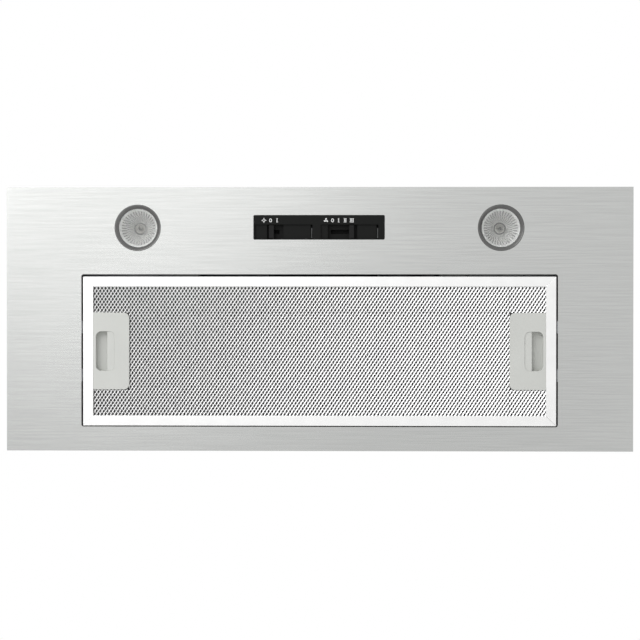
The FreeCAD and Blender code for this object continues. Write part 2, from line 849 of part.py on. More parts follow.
def lamp_cup():
    # A can over the lamp that stands on the ring and is held down by its two ears.
    outer = rod(lamp_cup_radius, V(0, 0, lamp_ring_top), V(0, 0, lamp_cup_top))
    bore = lamp_cup_radius - lamp_cup_wall
    can = outer.cut(rod(bore, V(0, 0, lamp_ring_top), V(0, 0, lamp_cup_top - lamp_cup_wall)))
    foot = ring(lamp_ring_outer, bore, V(0, 0, lamp_ring_top), V(0, 0, lamp_ring_top + lamp_cup_wall))
    can = can.fuse(foot)
    ears = lamp_ears(plate_top, lamp_ring_top + lamp_cup_wall, lamp_ring_outer)
    bridge = lamp_ears(lamp_ring_top, lamp_ring_top + lamp_cup_wall, lamp_cup_radius)
    can = can.fuse([ears, bridge])
    for degrees in (60, 120, 240, 300):
        angle = math.radians(degrees)
        side = V(math.cos(angle), math.sin(angle), 0)
        vent = V(0, 0, (reflector_top + lamp_glass_top) / 2)
        can = can.cut(rod(socket_x / 4, vent + side * bore / 2, vent + side * lamp_ring_outer))
    return can.removeSplitter()


# ---------------------------------------------------------------- controls
floor_z = pocket_depth
skin_top = floor_z + pocket_skin
switch_low = skin_top
switch_top = switch_low + switch_z
light_slot_low = light_window_x - window_x / 2 + light_slot_start
fan_slot_low = fan_window_x - window_x / 2 + fan_slot_start
bezel_low = bezel_recess


def window_pocket(window_centre, slot_low, slot_length):
    # The open space of one window: its low slot runs to the floor, the rest stops at the blocks.
    left, right = window_centre - window_x / 2, window_centre + window_x / 2
    y0, y1 = window_centre_y - window_y / 2, window_centre_y + window_y / 2
    shallow = box(left, right, y0, y1, bezel_low, block_recess)
    slot = box(slot_low, slot_low + slot_length, y0, y1, bezel_low, floor_z)
    facet = prism([V(right - block_facet, y0, block_recess), V(right, y0, block_recess),
                   V(right, y0, block_recess + block_facet)], V(0, y1 - y0, 0))
    return shallow.fuse([slot, facet])


def stem_slit(knob_x_place, start, end):
    # The slit in the pocket floor that the slider's stem runs along.
    low = knob_x_place + start - stem_x / 2 - slit_gap
    high = knob_x_place + end + stem_x / 2 + slit_gap
    half = stem_y / 2 + slit_gap
    return low, high, window_centre_y - half, window_centre_y + half


def bezel_screw_places():
    reach = control_x / 2 + bezel_lap + bezel_ear / 2
    return [V(-reach, control_centre_y, 0), V(reach, control_centre_y, 0)]


def control_bezel():
    size_x, size_y = control_x - 2 * bezel_clear, control_y - 2 * bezel_clear
    lap_top = plate_top + bezel_sheet
    face = rounded(0, control_centre_y, size_x, size_y, bezel_low, lap_top, control_corner - bezel_clear)
    lap_x = control_x + 2 * (bezel_lap + bezel_ear)
    lap = block(0, control_centre_y, lap_x, control_y + 2 * bezel_lap, plate_top, lap_top)
    body_x0 = light_window_x - window_x / 2 - pocket_skin
    body_x1 = fan_window_x + window_x / 2 + pocket_skin
    body = box(body_x0, body_x1, window_centre_y - window_y / 2 - pocket_skin,
               window_centre_y + window_y / 2 + pocket_skin, plate_top, skin_top)
    bezel = face.fuse([lap, body])
    bezel = bezel.cut(window_pocket(light_window_x, light_slot_low, light_slot_length))
    bezel = bezel.cut(window_pocket(fan_window_x, fan_slot_low, fan_slot_length))
    for x0, x1, y0, y1 in (stem_slit(light_knob_x, 0, light_travel), stem_slit(fan_knob_x, -fan_travel, 0)):
        bezel = bezel.cut(box(x0, x1, y0, y1, floor_z, skin_top))
    hole_radius = stud_radius + bezel_clear
    for place in bezel_screw_places():
        bezel = bezel.cut(rod(hole_radius, place + Z_AXIS * plate_top, place + Z_AXIS * lap_top))
    return bezel.removeSplitter()


def switch_body(knob_place, start, end):
    # A slide switch on the pocket floor, hollow where the slider's stem runs.
    x0, x1, y0, y1 = stem_slit(knob_place, start, end)
    body = box(x0 - switch_end_room, x1 + switch_end_room, window_centre_y - switch_y / 2,
               window_centre_y + switch_y / 2, switch_low, switch_top)
    hollow = box(x0, x1, y0, y1, switch_low, switch_top - switch_wall)
    solids = [body.cut(hollow)]
    for share in (0.2, 0.5, 0.8):
        x = x0 - switch_end_room + (x1 - x0 + 2 * switch_end_room) * share
        solids.append(block(x, window_centre_y, switch_wall, stem_y, switch_top, switch_top + stem_y))
    return joined(solids)


def slider(knob_place):
    # A finger knob with a stem through the pocket floor into its switch.
    middle, foot = floor_z / 2, floor_z - slit_gap
    knob = block(knob_place, window_centre_y, knob_x, knob_y, knob_recess, foot)
    relief_x, relief_y = knob_x - 2 * knob_side_skin, knob_y - 2 * knob_skin
    relief = block(knob_place, window_centre_y, relief_x, relief_y, middle, foot)
    stem = block(knob_place, window_centre_y, stem_x, stem_y, middle, middle + stem_length)
    return knob.cut(relief).fuse(stem).removeSplitter()


def switch_carrier():
    # A steel bridge over both switches, its feet on the bezel's ears.
    reach = control_x / 2 + bezel_lap + bezel_ear
    foot_z = plate_top + bezel_sheet
    half = switch_y / 2
    y0, y1 = window_centre_y - half, window_centre_y + half
    deck_low, deck_high = switch_top, switch_top + carrier_sheet
    foot_high = foot_z + carrier_sheet
    deck = box(-reach + bezel_ear, reach - bezel_ear, y0, y1, deck_low, deck_high)
    solids = [deck]
    for side in (-1, 1):
        inner = side * (reach - bezel_ear)
        outer = side * reach
        wall_x0, wall_x1 = sorted((inner - side * carrier_sheet, inner))
        foot_x0, foot_x1 = sorted((inner - side * carrier_sheet, outer))
        solids.append(box(wall_x0, wall_x1, y0, y1, foot_z, deck_high))
        solids.append(box(foot_x0, foot_x1, control_centre_y - half, y1, foot_z, foot_high))
    bridge = joined(solids)
    for knob_place, start, end in ((light_knob_x, 0, light_travel), (fan_knob_x, -fan_travel, 0)):
        x0, x1, low_y, high_y = stem_slit(knob_place, start, end)
        slot_room = switch_end_room / 2
        bridge = bridge.cut(box(x0 - slot_room, x1 + slot_room, low_y, high_y, deck_low, deck_high))
    hole_radius = stud_radius + bezel_clear
    for place in bezel_screw_places():
        bridge = bridge.cut(rod(hole_radius, place + Z_AXIS * foot_z, place + Z_AXIS * foot_high))
    return bridge


# ---------------------------------------------------------------- grease filter
# The left latch is drawn in place: `latch_edge` is the left rail's inner edge, distances run to the right.
latch_edge = -rail_inner_x
latch_room = latch_travel + latch_spring_room + latch_wall + latch_inset
latch_x = grip_edge + grip_x - grip_tab + tab_x + latch_room
mesh_low = filter_z + rail_sheet
mesh_high = filter_top - rail_sheet
latch_top = filter_z + latch_depth
body_left = latch_edge + latch_inset
body_right = latch_edge + latch_x - latch_inset
body_half_y = latch_y / 2 - latch_side_inset
tab_left = latch_edge + grip_edge + grip_x - grip_tab
tab_right = tab_left + tab_x
tongue_low = filter_z + tongue_rise
tongue_high = tongue_low + tongue_depth
tongue_tip = -aperture_side + catch_sheet + tongue_gap
arm_inner_y = grip_y / 2 + pocket_wall + slide_gap
arm_outer_y = arm_inner_y + tongue_y


def filter_block(inset, z0, z1):
    return block(0, filter_centre_y, filter_x - 2 * inset, filter_y - 2 * inset, z0, z1)


def tongue_windows(x0, x1):
    # The two slots that a latch's tongues slide through.
    slots = []
    z0, z1 = tongue_low - slide_gap, tongue_high + slide_gap
    for side in (-1, 1):
        y0, y1 = sorted((side * (arm_inner_y - slide_gap), side * (arm_outer_y + slide_gap)))
        slots.append(box(x0, x1, filter_centre_y + y0, filter_centre_y + y1, z0, z1))
    return slots


def filter_rail(length, half_depth):
    # One channel-section rail with mitred ends, lying along X on the side towards -Y.
    half = length / 2
    outer = box(-half, half, -half_depth, -half_depth + rail_band, filter_z, filter_top)
    channel = box(-half, half, -half_depth + rail_sheet, -half_depth + rail_band, mesh_low, mesh_high)
    mitre = prism([V(-half, -half_depth, filter_z), V(half, -half_depth, filter_z),
                   V(half - rail_band, -half_depth + rail_band, filter_z),
                   V(-half + rail_band, -half_depth + rail_band, filter_z)], V(0, 0, filter_depth))
    return outer.cut(channel).common(mitre)


def filter_rails():
    rails = {}
    long_rail = filter_rail(filter_x, filter_y / 2)
    short_rail = filter_rail(filter_y, filter_x / 2)
    rails["filter_rail_front"] = moved(long_rail, 0, filter_centre_y, 0)
    rails["filter_rail_rear"] = moved(turned(long_rail, ORIGIN, Z_AXIS, 180), 0, filter_centre_y, 0)
    left = moved(turned(short_rail, ORIGIN, Z_AXIS, -90), 0, filter_centre_y, 0)
    left = left.cut(tongue_windows(-filter_x / 2, -filter_x / 2 + rail_sheet))
    rails["filter_rail_left"] = left
    rails["filter_rail_right"] = mirrored(left)
    return rails


def latch_clearance(z0, z1):
    # The space that both latch bodies need through the mesh and the pad.
    gap = filter_slip
    left = box(body_left - gap, body_right + gap, filter_centre_y - body_half_y - gap,
               filter_centre_y + body_half_y + gap, z0, z1)
    return [left, mirrored(left)]


def filter_mesh(low):
    # Expanded sheet as one holed face: staggered diamonds, longer along Y, left out under the latches.
    inset = rail_sheet + filter_slip
    half_x, half_y = filter_x / 2 - rail_band, filter_y / 2 - rail_band
    columns = int((2 * half_x - mesh_strand) / mesh_pitch_x)
    rows = int((2 * half_y - mesh_strand) / (mesh_pitch_y / 2)) - 1
    long_half, short_half = (mesh_pitch_y - mesh_strand) / 2, (mesh_pitch_x - mesh_strand) / 2
    edge_x, edge_y = filter_x / 2 - inset, filter_y / 2 - inset
    corners = [V(-edge_x, -edge_y, 0), V(edge_x, -edge_y, 0), V(edge_x, edge_y, 0), V(-edge_x, edge_y, 0)]
    wires = [closed_wire(corners, 0, filter_centre_y)]
    diamond = [V(-short_half, 0, 0), V(0, -long_half, 0), V(short_half, 0, 0), V(0, long_half, 0)]
    latch_reach_x = rail_inner_x - latch_x - short_half
    latch_reach_y = latch_y / 2 + long_half
    for row in range(rows):
        y = filter_centre_y + (row - (rows - 1) / 2) * mesh_pitch_y / 2
        shift = (row % 2) / 2
        for column in range(columns - row % 2):
            x = (column + shift - (columns - 1) / 2) * mesh_pitch_x
            under_latch = abs(x) > latch_reach_x and abs(y - filter_centre_y) < latch_reach_y
            if not under_latch:
                wires.append(closed_wire(diamond, x, y))
    sheet = Part.makeFace(wires, "Part::FaceMakerCheese")
    solid = moved(sheet.extrude(V(0, 0, mesh_sheet)), 0, 0, low)
    return solid.cut(latch_clearance(low, low + mesh_sheet))


def closed_wire(points, x, y):
    placed = [V(x, y, 0) + point for point in points]
    return Part.makePolygon(placed + [placed[0]])


def filter_pad():
    # The layered aluminium pad that fills the rails between the two sheets.
    low, high = mesh_low + mesh_sheet, mesh_high - mesh_sheet
    pad = filter_block(rail_sheet + filter_slip, low, high).cut(latch_clearance(low, high))
    channels = tongue_windows(-filter_x / 2, body_left)
    return pad.cut(channels + [mirrored(channel) for channel in channels])


# ---------------------------------------------------------------- latches, drawn for the left side
def latch_cover():
    # The grey moulding: a face flush with the rails, a box through the mesh and a finger pocket.
    face_high = mesh_low
    centre_x = latch_edge + latch_x / 2
    face = rounded(centre_x, filter_centre_y, latch_x, latch_y, filter_z, face_high, latch_corner)
    face_y0, face_y1 = filter_centre_y - latch_y / 2, filter_centre_y + latch_y / 2
    square = box(latch_edge, centre_x, face_y0, face_y1, filter_z, face_high)
    body_y0, body_y1 = filter_centre_y - body_half_y, filter_centre_y + body_half_y
    outer = box(body_left, body_right, body_y0, body_y1, face_high, latch_top)
    hollow = box(body_left + latch_wall, body_right - latch_wall, body_y0 + latch_wall, body_y1 - latch_wall,
                 face_high, latch_top - latch_wall)
    cover = face.fuse([square, outer]).cut(hollow)
    pocket_right = tab_left - slide_gap
    for side in (-1, 1):
        y0, y1 = sorted((side * grip_y / 2, side * (grip_y / 2 + pocket_wall)))
        wall = box(body_left + latch_wall, pocket_right, filter_centre_y + y0, filter_centre_y + y1,
                   face_high, latch_top - latch_wall)
        cover = cover.fuse(wall)
    grip_centre = latch_edge + grip_edge + grip_x / 2
    cover = cover.cut(rounded(grip_centre, filter_centre_y, grip_x, grip_y, filter_z, face_high, grip_corner))
    return cover.cut(tongue_windows(body_left, body_left + latch_wall)).removeSplitter()


def latch_slider():
    # The finger tab with two arms that run past the finger pocket and end as tongues.
    tab_low = mesh_low + slide_gap
    tab_high = tab_low + tab_height
    half_tab = arm_inner_y + tab_lap
    tab = box(tab_left, tab_right, filter_centre_y - half_tab, filter_centre_y + half_tab, tab_low, tab_high)
    solids = [tab]
    for side in (-1, 1):
        y0, y1 = sorted((side * arm_inner_y, side * arm_outer_y))
        arm = box(tongue_tip, tab_right, filter_centre_y + y0, filter_centre_y + y1, tongue_low, tongue_high)
        solids.append(arm)
    return joined(solids)


def arc_between(start, corner, end):
    # The arc that leaves `start` and reaches `end` tangent to the lines through `corner`.
    middle = (start + end) / 2
    rise = (corner - middle).Length
    half_chord = (end - start).Length / 2
    sagitta = half_chord * math.tan(math.atan2(rise, half_chord) / 2)
    return Part.Arc(start, middle + (corner - middle) * (sagitta / rise), end).toShape()


def coil_point(turn, pitch):
    # Place and direction on the coil after so many turns about the X axis.
    angle = 2 * math.pi * turn
    place = V(pitch * turn, latch_spring_radius * math.cos(angle), latch_spring_radius * math.sin(angle))
    around = 2 * math.pi * latch_spring_radius
    direction = V(pitch, -around * math.sin(angle), around * math.cos(angle))
    return place, direction.normalize()


def coil_path(pitch):
    # Quarter turns, each of two arcs that meet smoothly.
    edges = []
    for quarter in range(4 * latch_spring_turns):
        start, leave = coil_point(quarter / 4, pitch)
        end, arrive = coil_point((quarter + 1) / 4, pitch)
        chord, both = end - start, leave + arrive
        spread = 4 - both.dot(both)
        along = chord.dot(both)
        reach = (math.sqrt(along ** 2 + spread * chord.dot(chord)) - along) / spread
        first, second = start + leave * reach, end - arrive * reach
        joint = (first + second) / 2
        edges.append(arc_between(start, first, joint))
        edges.append(arc_between(joint, second, end))
    return Part.Wire(edges)


def latch_spring():
    # A compression coil between the tab and the far wall of the latch box.
    end_room = slide_gap + latch_spring_wire / 2
    seat = V(tab_right + end_room, filter_centre_y, mesh_low + slide_gap + tab_height / 2)
    far_wall = body_right - latch_wall - end_room
    pitch = (far_wall - seat.x) / latch_spring_turns
    place, direction = coil_point(0, pitch)
    section = Part.Wire(Part.makeCircle(latch_spring_wire / 2, place, direction))
    coil = coil_path(pitch).makePipeShell([section], True, False)
    coil.translate(seat)
    return coil


def filter_catch():
    # A spring clip over the aperture's side flange, its bead under one tongue.
    face = -aperture_side
    top = plate_top + aperture_flange
    bead_top = tongue_low - slide_gap
    inner = face + catch_sheet
    low = bead_top - catch_bead_height
    outer = face - plate_sheet
    hook = outer - catch_sheet
    crest = bead_top - catch_bead_height / 3
    leg = [V(face, 0, low), V(inner, 0, low), V(inner + catch_bead, 0, crest), V(inner, 0, bead_top),
           V(inner, 0, top + catch_sheet), V(hook, 0, top + catch_sheet), V(hook, 0, top - catch_grip),
           V(outer, 0, top - catch_grip), V(outer, 0, top), V(face, 0, top)]
    clip = prism(leg, V(0, catch_y, 0))
    clips = []
    arm_centre = (arm_inner_y + arm_outer_y) / 2
    for side in (-1, 1):
        clips.append(moved(clip, 0, filter_centre_y + side * arm_centre - catch_y / 2, 0))
    return clips


def filter_catches():
    clips = filter_catch()
    return group(clips + [mirrored(clip) for clip in clips])


# ---------------------------------------------------------------- electrical parts
junction_base = chassis_top
junction_top = junction_base + junction_z


def junction_shell(z0, z1):
    return rounded(junction_centre_x, junction_centre_y, junction_x, junction_y, z0, z1, 2 * junction_wall)


def junction_box():
    inner_x, inner_y = junction_x - 2 * junction_wall, junction_y - 2 * junction_wall
    floor = junction_base + junction_wall
    hollow = block(junction_centre_x, junction_centre_y, inner_x, inner_y, floor, junction_top)
    start, end = gland_line()
    thread_hole = rod(gland_thread_radius, start, start + X_AXIS * junction_wall * 2)
    return junction_shell(junction_base, junction_top).cut([hollow, thread_hole])


def gland_line():
    wall = junction_centre_x - junction_x / 2
    z = junction_base + junction_z / 2
    return V(wall, junction_centre_y, z), V(wall - gland_length, junction_centre_y, z)


def junction_cover():
    return junction_shell(junction_top, junction_top + junction_lid)


def cable_gland():
    # A gland in the box wall: a threaded stub, a collar and a cap nut round the cable bore.
    start, end = gland_line()
    inside = start + X_AXIS * (junction_wall + gland_radius / 2)
    stub = rod(gland_thread_radius, start, inside)
    hexed = hexagon(2 * gland_radius, ORIGIN, gland_length / 2)
    nut = turned(hexed, ORIGIN, Y_AXIS, -90)
    nut.translate(start)
    cap = rod(gland_cap_radius, start - X_AXIS * gland_length / 2, end)
    gland = stub.fuse([nut, cap])
    return gland.cut(rod(gland_hole_radius, inside, end)).removeSplitter()


def terminal_block():
    # A strip of poles on the box floor, each with a wire hole and a screw well.
    base_z = junction_base + junction_wall
    strip = block(junction_centre_x, junction_centre_y, terminal_x, terminal_y, base_z, base_z + terminal_z)
    pitch = terminal_x / terminal_poles
    for pole in range(terminal_poles):
        x = junction_centre_x - terminal_x / 2 + (pole + 0.5) * pitch
        well = V(x, junction_centre_y, base_z + terminal_z)
        strip = strip.cut(rod(terminal_screw_radius, well - Z_AXIS * terminal_z / 2, well))
        wire_end = V(x, junction_centre_y - terminal_y / 2, base_z + terminal_z / 3)
        strip = strip.cut(rod(terminal_wire_radius, wire_end, wire_end + Y_AXIS * terminal_y))
    return strip


def on_wall_y():
    return wall_y - steel


def capacitor_line(length):
    # The two ends of a stretch of the can's own axis.
    middle = V(capacitor_x, on_wall_y() - clip_sheet - capacitor_radius, capacitor_z)
    return middle - X_AXIS * length / 2, middle + X_AXIS * length / 2


def capacitor():
    # A round can with two blade terminals on its right end.
    start, end = capacitor_line(capacitor_length)
    solids = [rod(capacitor_radius, start, end)]
    for side in (-1, 1):
        blade_y = end.y + side * capacitor_radius / 3
        blade_x = end.x + stud_length / 2
        blade = block(blade_x, blade_y, stud_length, clip_sheet, end.z - stud_radius, end.z + stud_radius)
        solids.append(blade)
    return joined(solids)


def capacitor_clip():
    # A steel band round the can with a foot on the compartment wall.
    start, end = capacitor_line(capacitor_radius)
    band = ring(capacitor_radius + clip_sheet, capacitor_radius, start, end)
    foot_top = capacitor_z + clip_foot_rise
    foot = box(start.x, end.x, on_wall_y() - clip_sheet, on_wall_y(), capacitor_z, foot_top)
    return band.fuse(foot.cut(rod(capacitor_radius, start, end))).removeSplitter()


def lamp_transformer():
    # The low-voltage supply for the lamps: a closed case with a screw ear at each end.
    y1 = on_wall_y()
    x0, x1 = transformer_centre_x - transformer_x / 2, transformer_centre_x + transformer_x / 2
    z0 = plate_top + transformer_rise
    case = box(x0, x1, y1 - transformer_y, y1, z0, z0 + transformer_z)
    away = [edge for edge in case.Edges if edge.BoundBox.YMax < y1 - transformer_round]
    case = case.makeFillet(transformer_round, away)
    ear = box(x0 - stud_length, x1 + stud_length, y1 - 2 * clip_sheet, y1, z0, z0 + transformer_z / 2)
    return case.fuse(ear).removeSplitter()


# ---------------------------------------------------------------- studs, nuts, screws and clamps
def stud_places():
    places = bezel_screw_places()
    for lamp_side in (-1, 1):
        for side in (-1, 1):
            x = lamp_side * lamp_pitch / 2 + side * (lamp_ear_reach - lamp_ear_width / 2)
            places.append(V(x, lamp_y, 0))
    return places


def weld_studs():
    foot, tip = Z_AXIS * plate_top, Z_AXIS * (plate_top + stud_length)
    return group([rod(stud_radius, place + foot, place + tip) for place in stud_places()])


def stud_nuts():
    nuts = []
    bezel_count = len(bezel_screw_places())
    on_carrier, on_cup = plate_top + bezel_sheet + carrier_sheet, lamp_ring_top + lamp_cup_wall
    for index, place in enumerate(stud_places()):
        carried = on_carrier if index < bezel_count else on_cup
        nut = hexagon(nut_across, place + Z_AXIS * carried, nut_height)
        nuts.append(nut.cut(rod(stud_radius, place, place + Z_AXIS * (carried + nut_height))))
    return group(nuts)


def collar_screw_places():
    reach = collar_radius + collar_flange / 2
    places = []
    for step in range(4):
        angle = math.radians(45 + 90 * step)
        places.append(V(reach * math.cos(angle), outlet_y + reach * math.sin(angle), collar_base))
    return places


def box_screw_places():
    # Screws through the motor box's brim into the chassis top.
    reach = box_half_x + box_flange / 2
    z = chassis_top + steel
    places = []
    for side in (-1, 1):
        for share in (0.1, 0.5, 0.9):
            places.append(V(side * reach, box_front + (box_rear - box_front) * share, z))
    return places


def clamp_screw_places():
    places = []
    for side in (-1, 1):
        for place in (-1, 1):
            head = V(side * (chassis_x / 2 + clamp_sheet), place * clamp_pitch, plate_top + side_hole_height)
            places.append((side, head))
    return places


def side_clamps():
    # Bent spring plates on the end walls that spread against the cabinet's cut-out.
    clamps = []
    for side, place in clamp_screw_places():
        wall = side * chassis_x / 2
        y0 = place.y - clamp_y / 2
        z0, z1 = place.z - clamp_height / 2, place.z + clamp_height / 2
        bend = z0 + clamp_height / 3
        out = wall + side * clamp_sheet
        tip = wall + side * clamp_reach
        tip_out = tip + side * clamp_sheet
        points = [V(wall, y0, z1), V(wall, y0, bend), V(tip, y0, z0), V(tip_out, y0, z0 + clamp_sheet)]
        points += [V(out, y0, bend + clamp_sheet), V(out, y0, z1)]
        plate = prism(points, V(0, clamp_y, 0))
        clamps.append(plate.cut(rod(screw_radius, V(wall, place.y, place.z), place)))
    return group(clamps)


def case_screws():
    # The same screw everywhere: collar, motor box brim and side clamps.
    upright = collar_screw_places() + box_screw_places()
    screws = [screw(place, -Z_AXIS, screw_reach) for place in upright]
    for side, place in clamp_screw_places():
        screws.append(screw(place, X_AXIS * -side, screw_reach))
    return group(screws)


def drilled(shape, places):
    # Clears screw shanks that run down from `places`.
    for place in places:
        shape = shape.cut(rod(screw_radius, place, place - Z_AXIS * screw_reach))
    return shape


# ---------------------------------------------------------------- the whole insert
def nodes():
    made = {}
    made["face_plate"] = face_plate()
    made["chassis"] = drilled_chassis()
    made["compartment_wall"] = compartment_wall()
    made["motor_box"] = drilled(motor_box(), box_screw_places() + collar_screw_places())
    made["outlet_collar"] = drilled(outlet_collar(), collar_screw_places())
    made["damper_pins"] = damper_pins()
    made["damper_flap_left"] = damper_flap(-1)
    made["damper_flap_right"] = damper_flap(1)
    made["fan_casing_left"] = drilled(fan_casing(-1), collar_screw_places())
    made["fan_casing_right"] = drilled(fan_casing(1), collar_screw_places())
    made["casing_screws"] = casing_screws()
    made["impeller"] = impeller()
    made["motor_shaft"] = motor_shaft()
    made["rotor_core"] = rotor_core()
    made["motor_stator"] = motor_stator()
    made["motor_winding"] = motor_winding()
    made["motor_end_cover_inner"] = motor_end_cover(motor_front, stack_start, inner_bearing)
    made["motor_end_cover_outer"] = motor_end_cover(motor_back, stack_end, outer_bearing)
    made["motor_bearings"] = motor_bearings()
    made["motor_bracket"] = motor_bracket()
    made["motor_grommets"] = motor_grommets()
    made["motor_screws"] = motor_screws()
    made["lamp_ring_left"], made["lamp_ring_right"] = at_both_lamps(lamp_ring())
    made["lamp_glasses"] = group(at_both_lamps(lamp_glass()))
    made["lamp_reflectors"] = group(at_both_lamps(lamp_reflector()))
    made["lamp_capsules"] = group(at_both_lamps(lamp_capsule()))
    made["lamp_sockets"] = group(at_both_lamps(lamp_socket()))
    made["lamp_cups"] = group(at_both_lamps(lamp_cup()))
    made["control_bezel"] = control_bezel()
    made["switch_carrier"] = switch_carrier()
    made["light_switch"] = switch_body(light_knob_x, 0, light_travel)
    made["fan_switch"] = switch_body(fan_knob_x, -fan_travel, 0)
    made["light_slider"] = slider(light_knob_x)
    made["fan_slider"] = slider(fan_knob_x)
    made.update(filter_rails())
    made["filter_mesh_lower"] = filter_mesh(mesh_low)
    made["filter_mesh_upper"] = filter_mesh(mesh_high - mesh_sheet)
    made["filter_pad"] = filter_pad()
    latch_parts = {"cover": latch_cover(), "slider": latch_slider(), "spring": latch_spring()}
    for part_name, shape in latch_parts.items():
        made["latch_" + part_name + "_left"] = shape
        made["latch_" + part_name + "_right"] = mirrored(shape)
    made["filter_catches"] = filter_catches()
    made["junction_box"] = junction_box()
    made["junction_cover"] = junction_cover()
    made["cable_gland"] = cable_gland()
    made["terminal_block"] = terminal_block()
    made["capacitor"] = capacitor()
    made["capacitor_clip"] = capacitor_clip()
    made["lamp_transformer"] = lamp_transformer()
    made["weld_studs"] = weld_studs()
    made["stud_nuts"] = stud_nuts()
    made["case_screws"] = case_screws()
    made["side_clamps"] = side_clamps()
    return made


def drilled_chassis():
    shell = drilled(chassis(), box_screw_places())
    for side, place in clamp_screw_places():
        shell = shell.cut(rod(screw_radius, place, place - X_AXIS * side * screw_reach))
    return shell


def main():
    os.makedirs("parts", exist_ok=True)
    for name, shape in nodes().items():
        solid_count = len(shape.Solids)
        print(name, solid_count, "solids", "valid" if shape.isValid() else "INVALID", round(shape.Volume, 1))
        shape.exportStep("parts/" + name + ".step")


main()
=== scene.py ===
import bmesh
import bpy
import json
import math
from bpy.props import FloatProperty, FloatVectorProperty, IntProperty, PointerProperty
from mathutils import Matrix, Vector

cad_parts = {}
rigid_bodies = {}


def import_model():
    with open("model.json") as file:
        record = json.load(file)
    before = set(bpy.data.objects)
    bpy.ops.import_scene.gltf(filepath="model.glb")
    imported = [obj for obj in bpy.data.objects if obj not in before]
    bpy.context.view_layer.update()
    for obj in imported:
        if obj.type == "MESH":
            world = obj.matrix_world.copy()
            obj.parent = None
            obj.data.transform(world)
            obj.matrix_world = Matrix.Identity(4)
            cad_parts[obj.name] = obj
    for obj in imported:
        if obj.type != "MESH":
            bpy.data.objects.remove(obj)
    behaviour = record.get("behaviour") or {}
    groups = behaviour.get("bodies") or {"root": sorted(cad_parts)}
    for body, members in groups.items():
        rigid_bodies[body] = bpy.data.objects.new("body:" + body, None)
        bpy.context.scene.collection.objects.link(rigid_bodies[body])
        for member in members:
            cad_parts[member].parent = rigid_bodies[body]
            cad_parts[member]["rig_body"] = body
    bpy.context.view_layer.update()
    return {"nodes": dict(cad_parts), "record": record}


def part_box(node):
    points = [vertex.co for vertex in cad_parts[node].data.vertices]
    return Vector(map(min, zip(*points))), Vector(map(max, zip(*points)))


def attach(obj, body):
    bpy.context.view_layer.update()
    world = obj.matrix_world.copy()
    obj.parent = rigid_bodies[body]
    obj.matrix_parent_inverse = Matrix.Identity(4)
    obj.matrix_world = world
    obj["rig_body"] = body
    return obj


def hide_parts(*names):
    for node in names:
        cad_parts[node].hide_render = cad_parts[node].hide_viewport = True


bl_info = {
    "name": "Range hood insert",
    "version": (1, 0, 0),
    "blender": (4, 5, 0),
    "location": "3D View > Sidebar > Hood insert",
    "description": "Dresses the packed range hood insert with its detailed pieces, finishes and studio",
    "category": "Object",
}

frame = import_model()
nodes = frame["nodes"]
MM = 0.001


# ---------------------------------------------------------------- places read from the frame
def low_high(node):
    low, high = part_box(node)
    return Vector(low), Vector(high)


rail_front_high = low_high("filter_rail_front")[1]
rail_rear_low = low_high("filter_rail_rear")[0]
rail_left_high = low_high("filter_rail_left")[1]
bezel_low = low_high("control_bezel")[0]


# ---------------------------------------------------------------- shader maths
class Wire:
    """A number coming out of a node, so that a pattern can be written as a sum."""

    def __init__(self, finish, socket):
        self.finish = finish
        self.socket = socket

    def __add__(self, other):
        return self.finish.maths("ADD", self, other)

    def __sub__(self, other):
        return self.finish.maths("SUBTRACT", self, other)

    def __mul__(self, other):
        return self.finish.maths("MULTIPLY", self, other)

    def __truediv__(self, other):
        return self.finish.maths("DIVIDE", self, other)

    def __pow__(self, other):
        return self.finish.maths("POWER", self, other)

    def __radd__(self, other):
        return self.finish.maths("ADD", other, self)

    def __rsub__(self, other):
        return self.finish.maths("SUBTRACT", other, self)

    def __rmul__(self, other):
        return self.finish.maths("MULTIPLY", other, self)

    def __abs__(self):
        return self.finish.maths("ABSOLUTE", self)

    def least(self, other):
        return self.finish.maths("MINIMUM", self, other)

    def most(self, other):
        return self.finish.maths("MAXIMUM", self, other)

    def between(self, low, high):
        """0 at low, 1 at high, smooth in between."""
        return self.finish.add("ShaderNodeMapRange", {"interpolation_type": "SMOOTHSTEP"},
                               {"Value": self, "From Min": low, "From Max": high})


class Nodes:
    """A node tree that is written as sums and calls."""

    def __init__(self, tree):
        self.tree = tree
        self.tree.nodes.clear()

    def plug(self, socket, value):
        if isinstance(value, Wire):
            self.tree.links.new(value.socket, socket)
        else:
            socket.default_value = value

    def add(self, kind, settings=None, inputs=None, output=0):
        node = self.tree.nodes.new(kind)
        for key, value in (settings or {}).items():
            setattr(node, key, value)
        for key, value in (inputs or {}).items():
            self.plug(node.inputs[key], value)
        return Wire(self, node.outputs[output])

    def maths(self, operation, first, second=0.0):
        return self.add("ShaderNodeMath", {"operation": operation}, {0: first, 1: second})

    def seen_as_white(self):
        """1 for rays from the camera, from gloss and through glass, 0 for the rays that light things."""
        rays = [self.add("ShaderNodeLightPath", output=name) for name in
                ("Is Camera Ray", "Is Glossy Ray", "Is Transmission Ray")]
        return rays[0].most(rays[1]).most(rays[2])


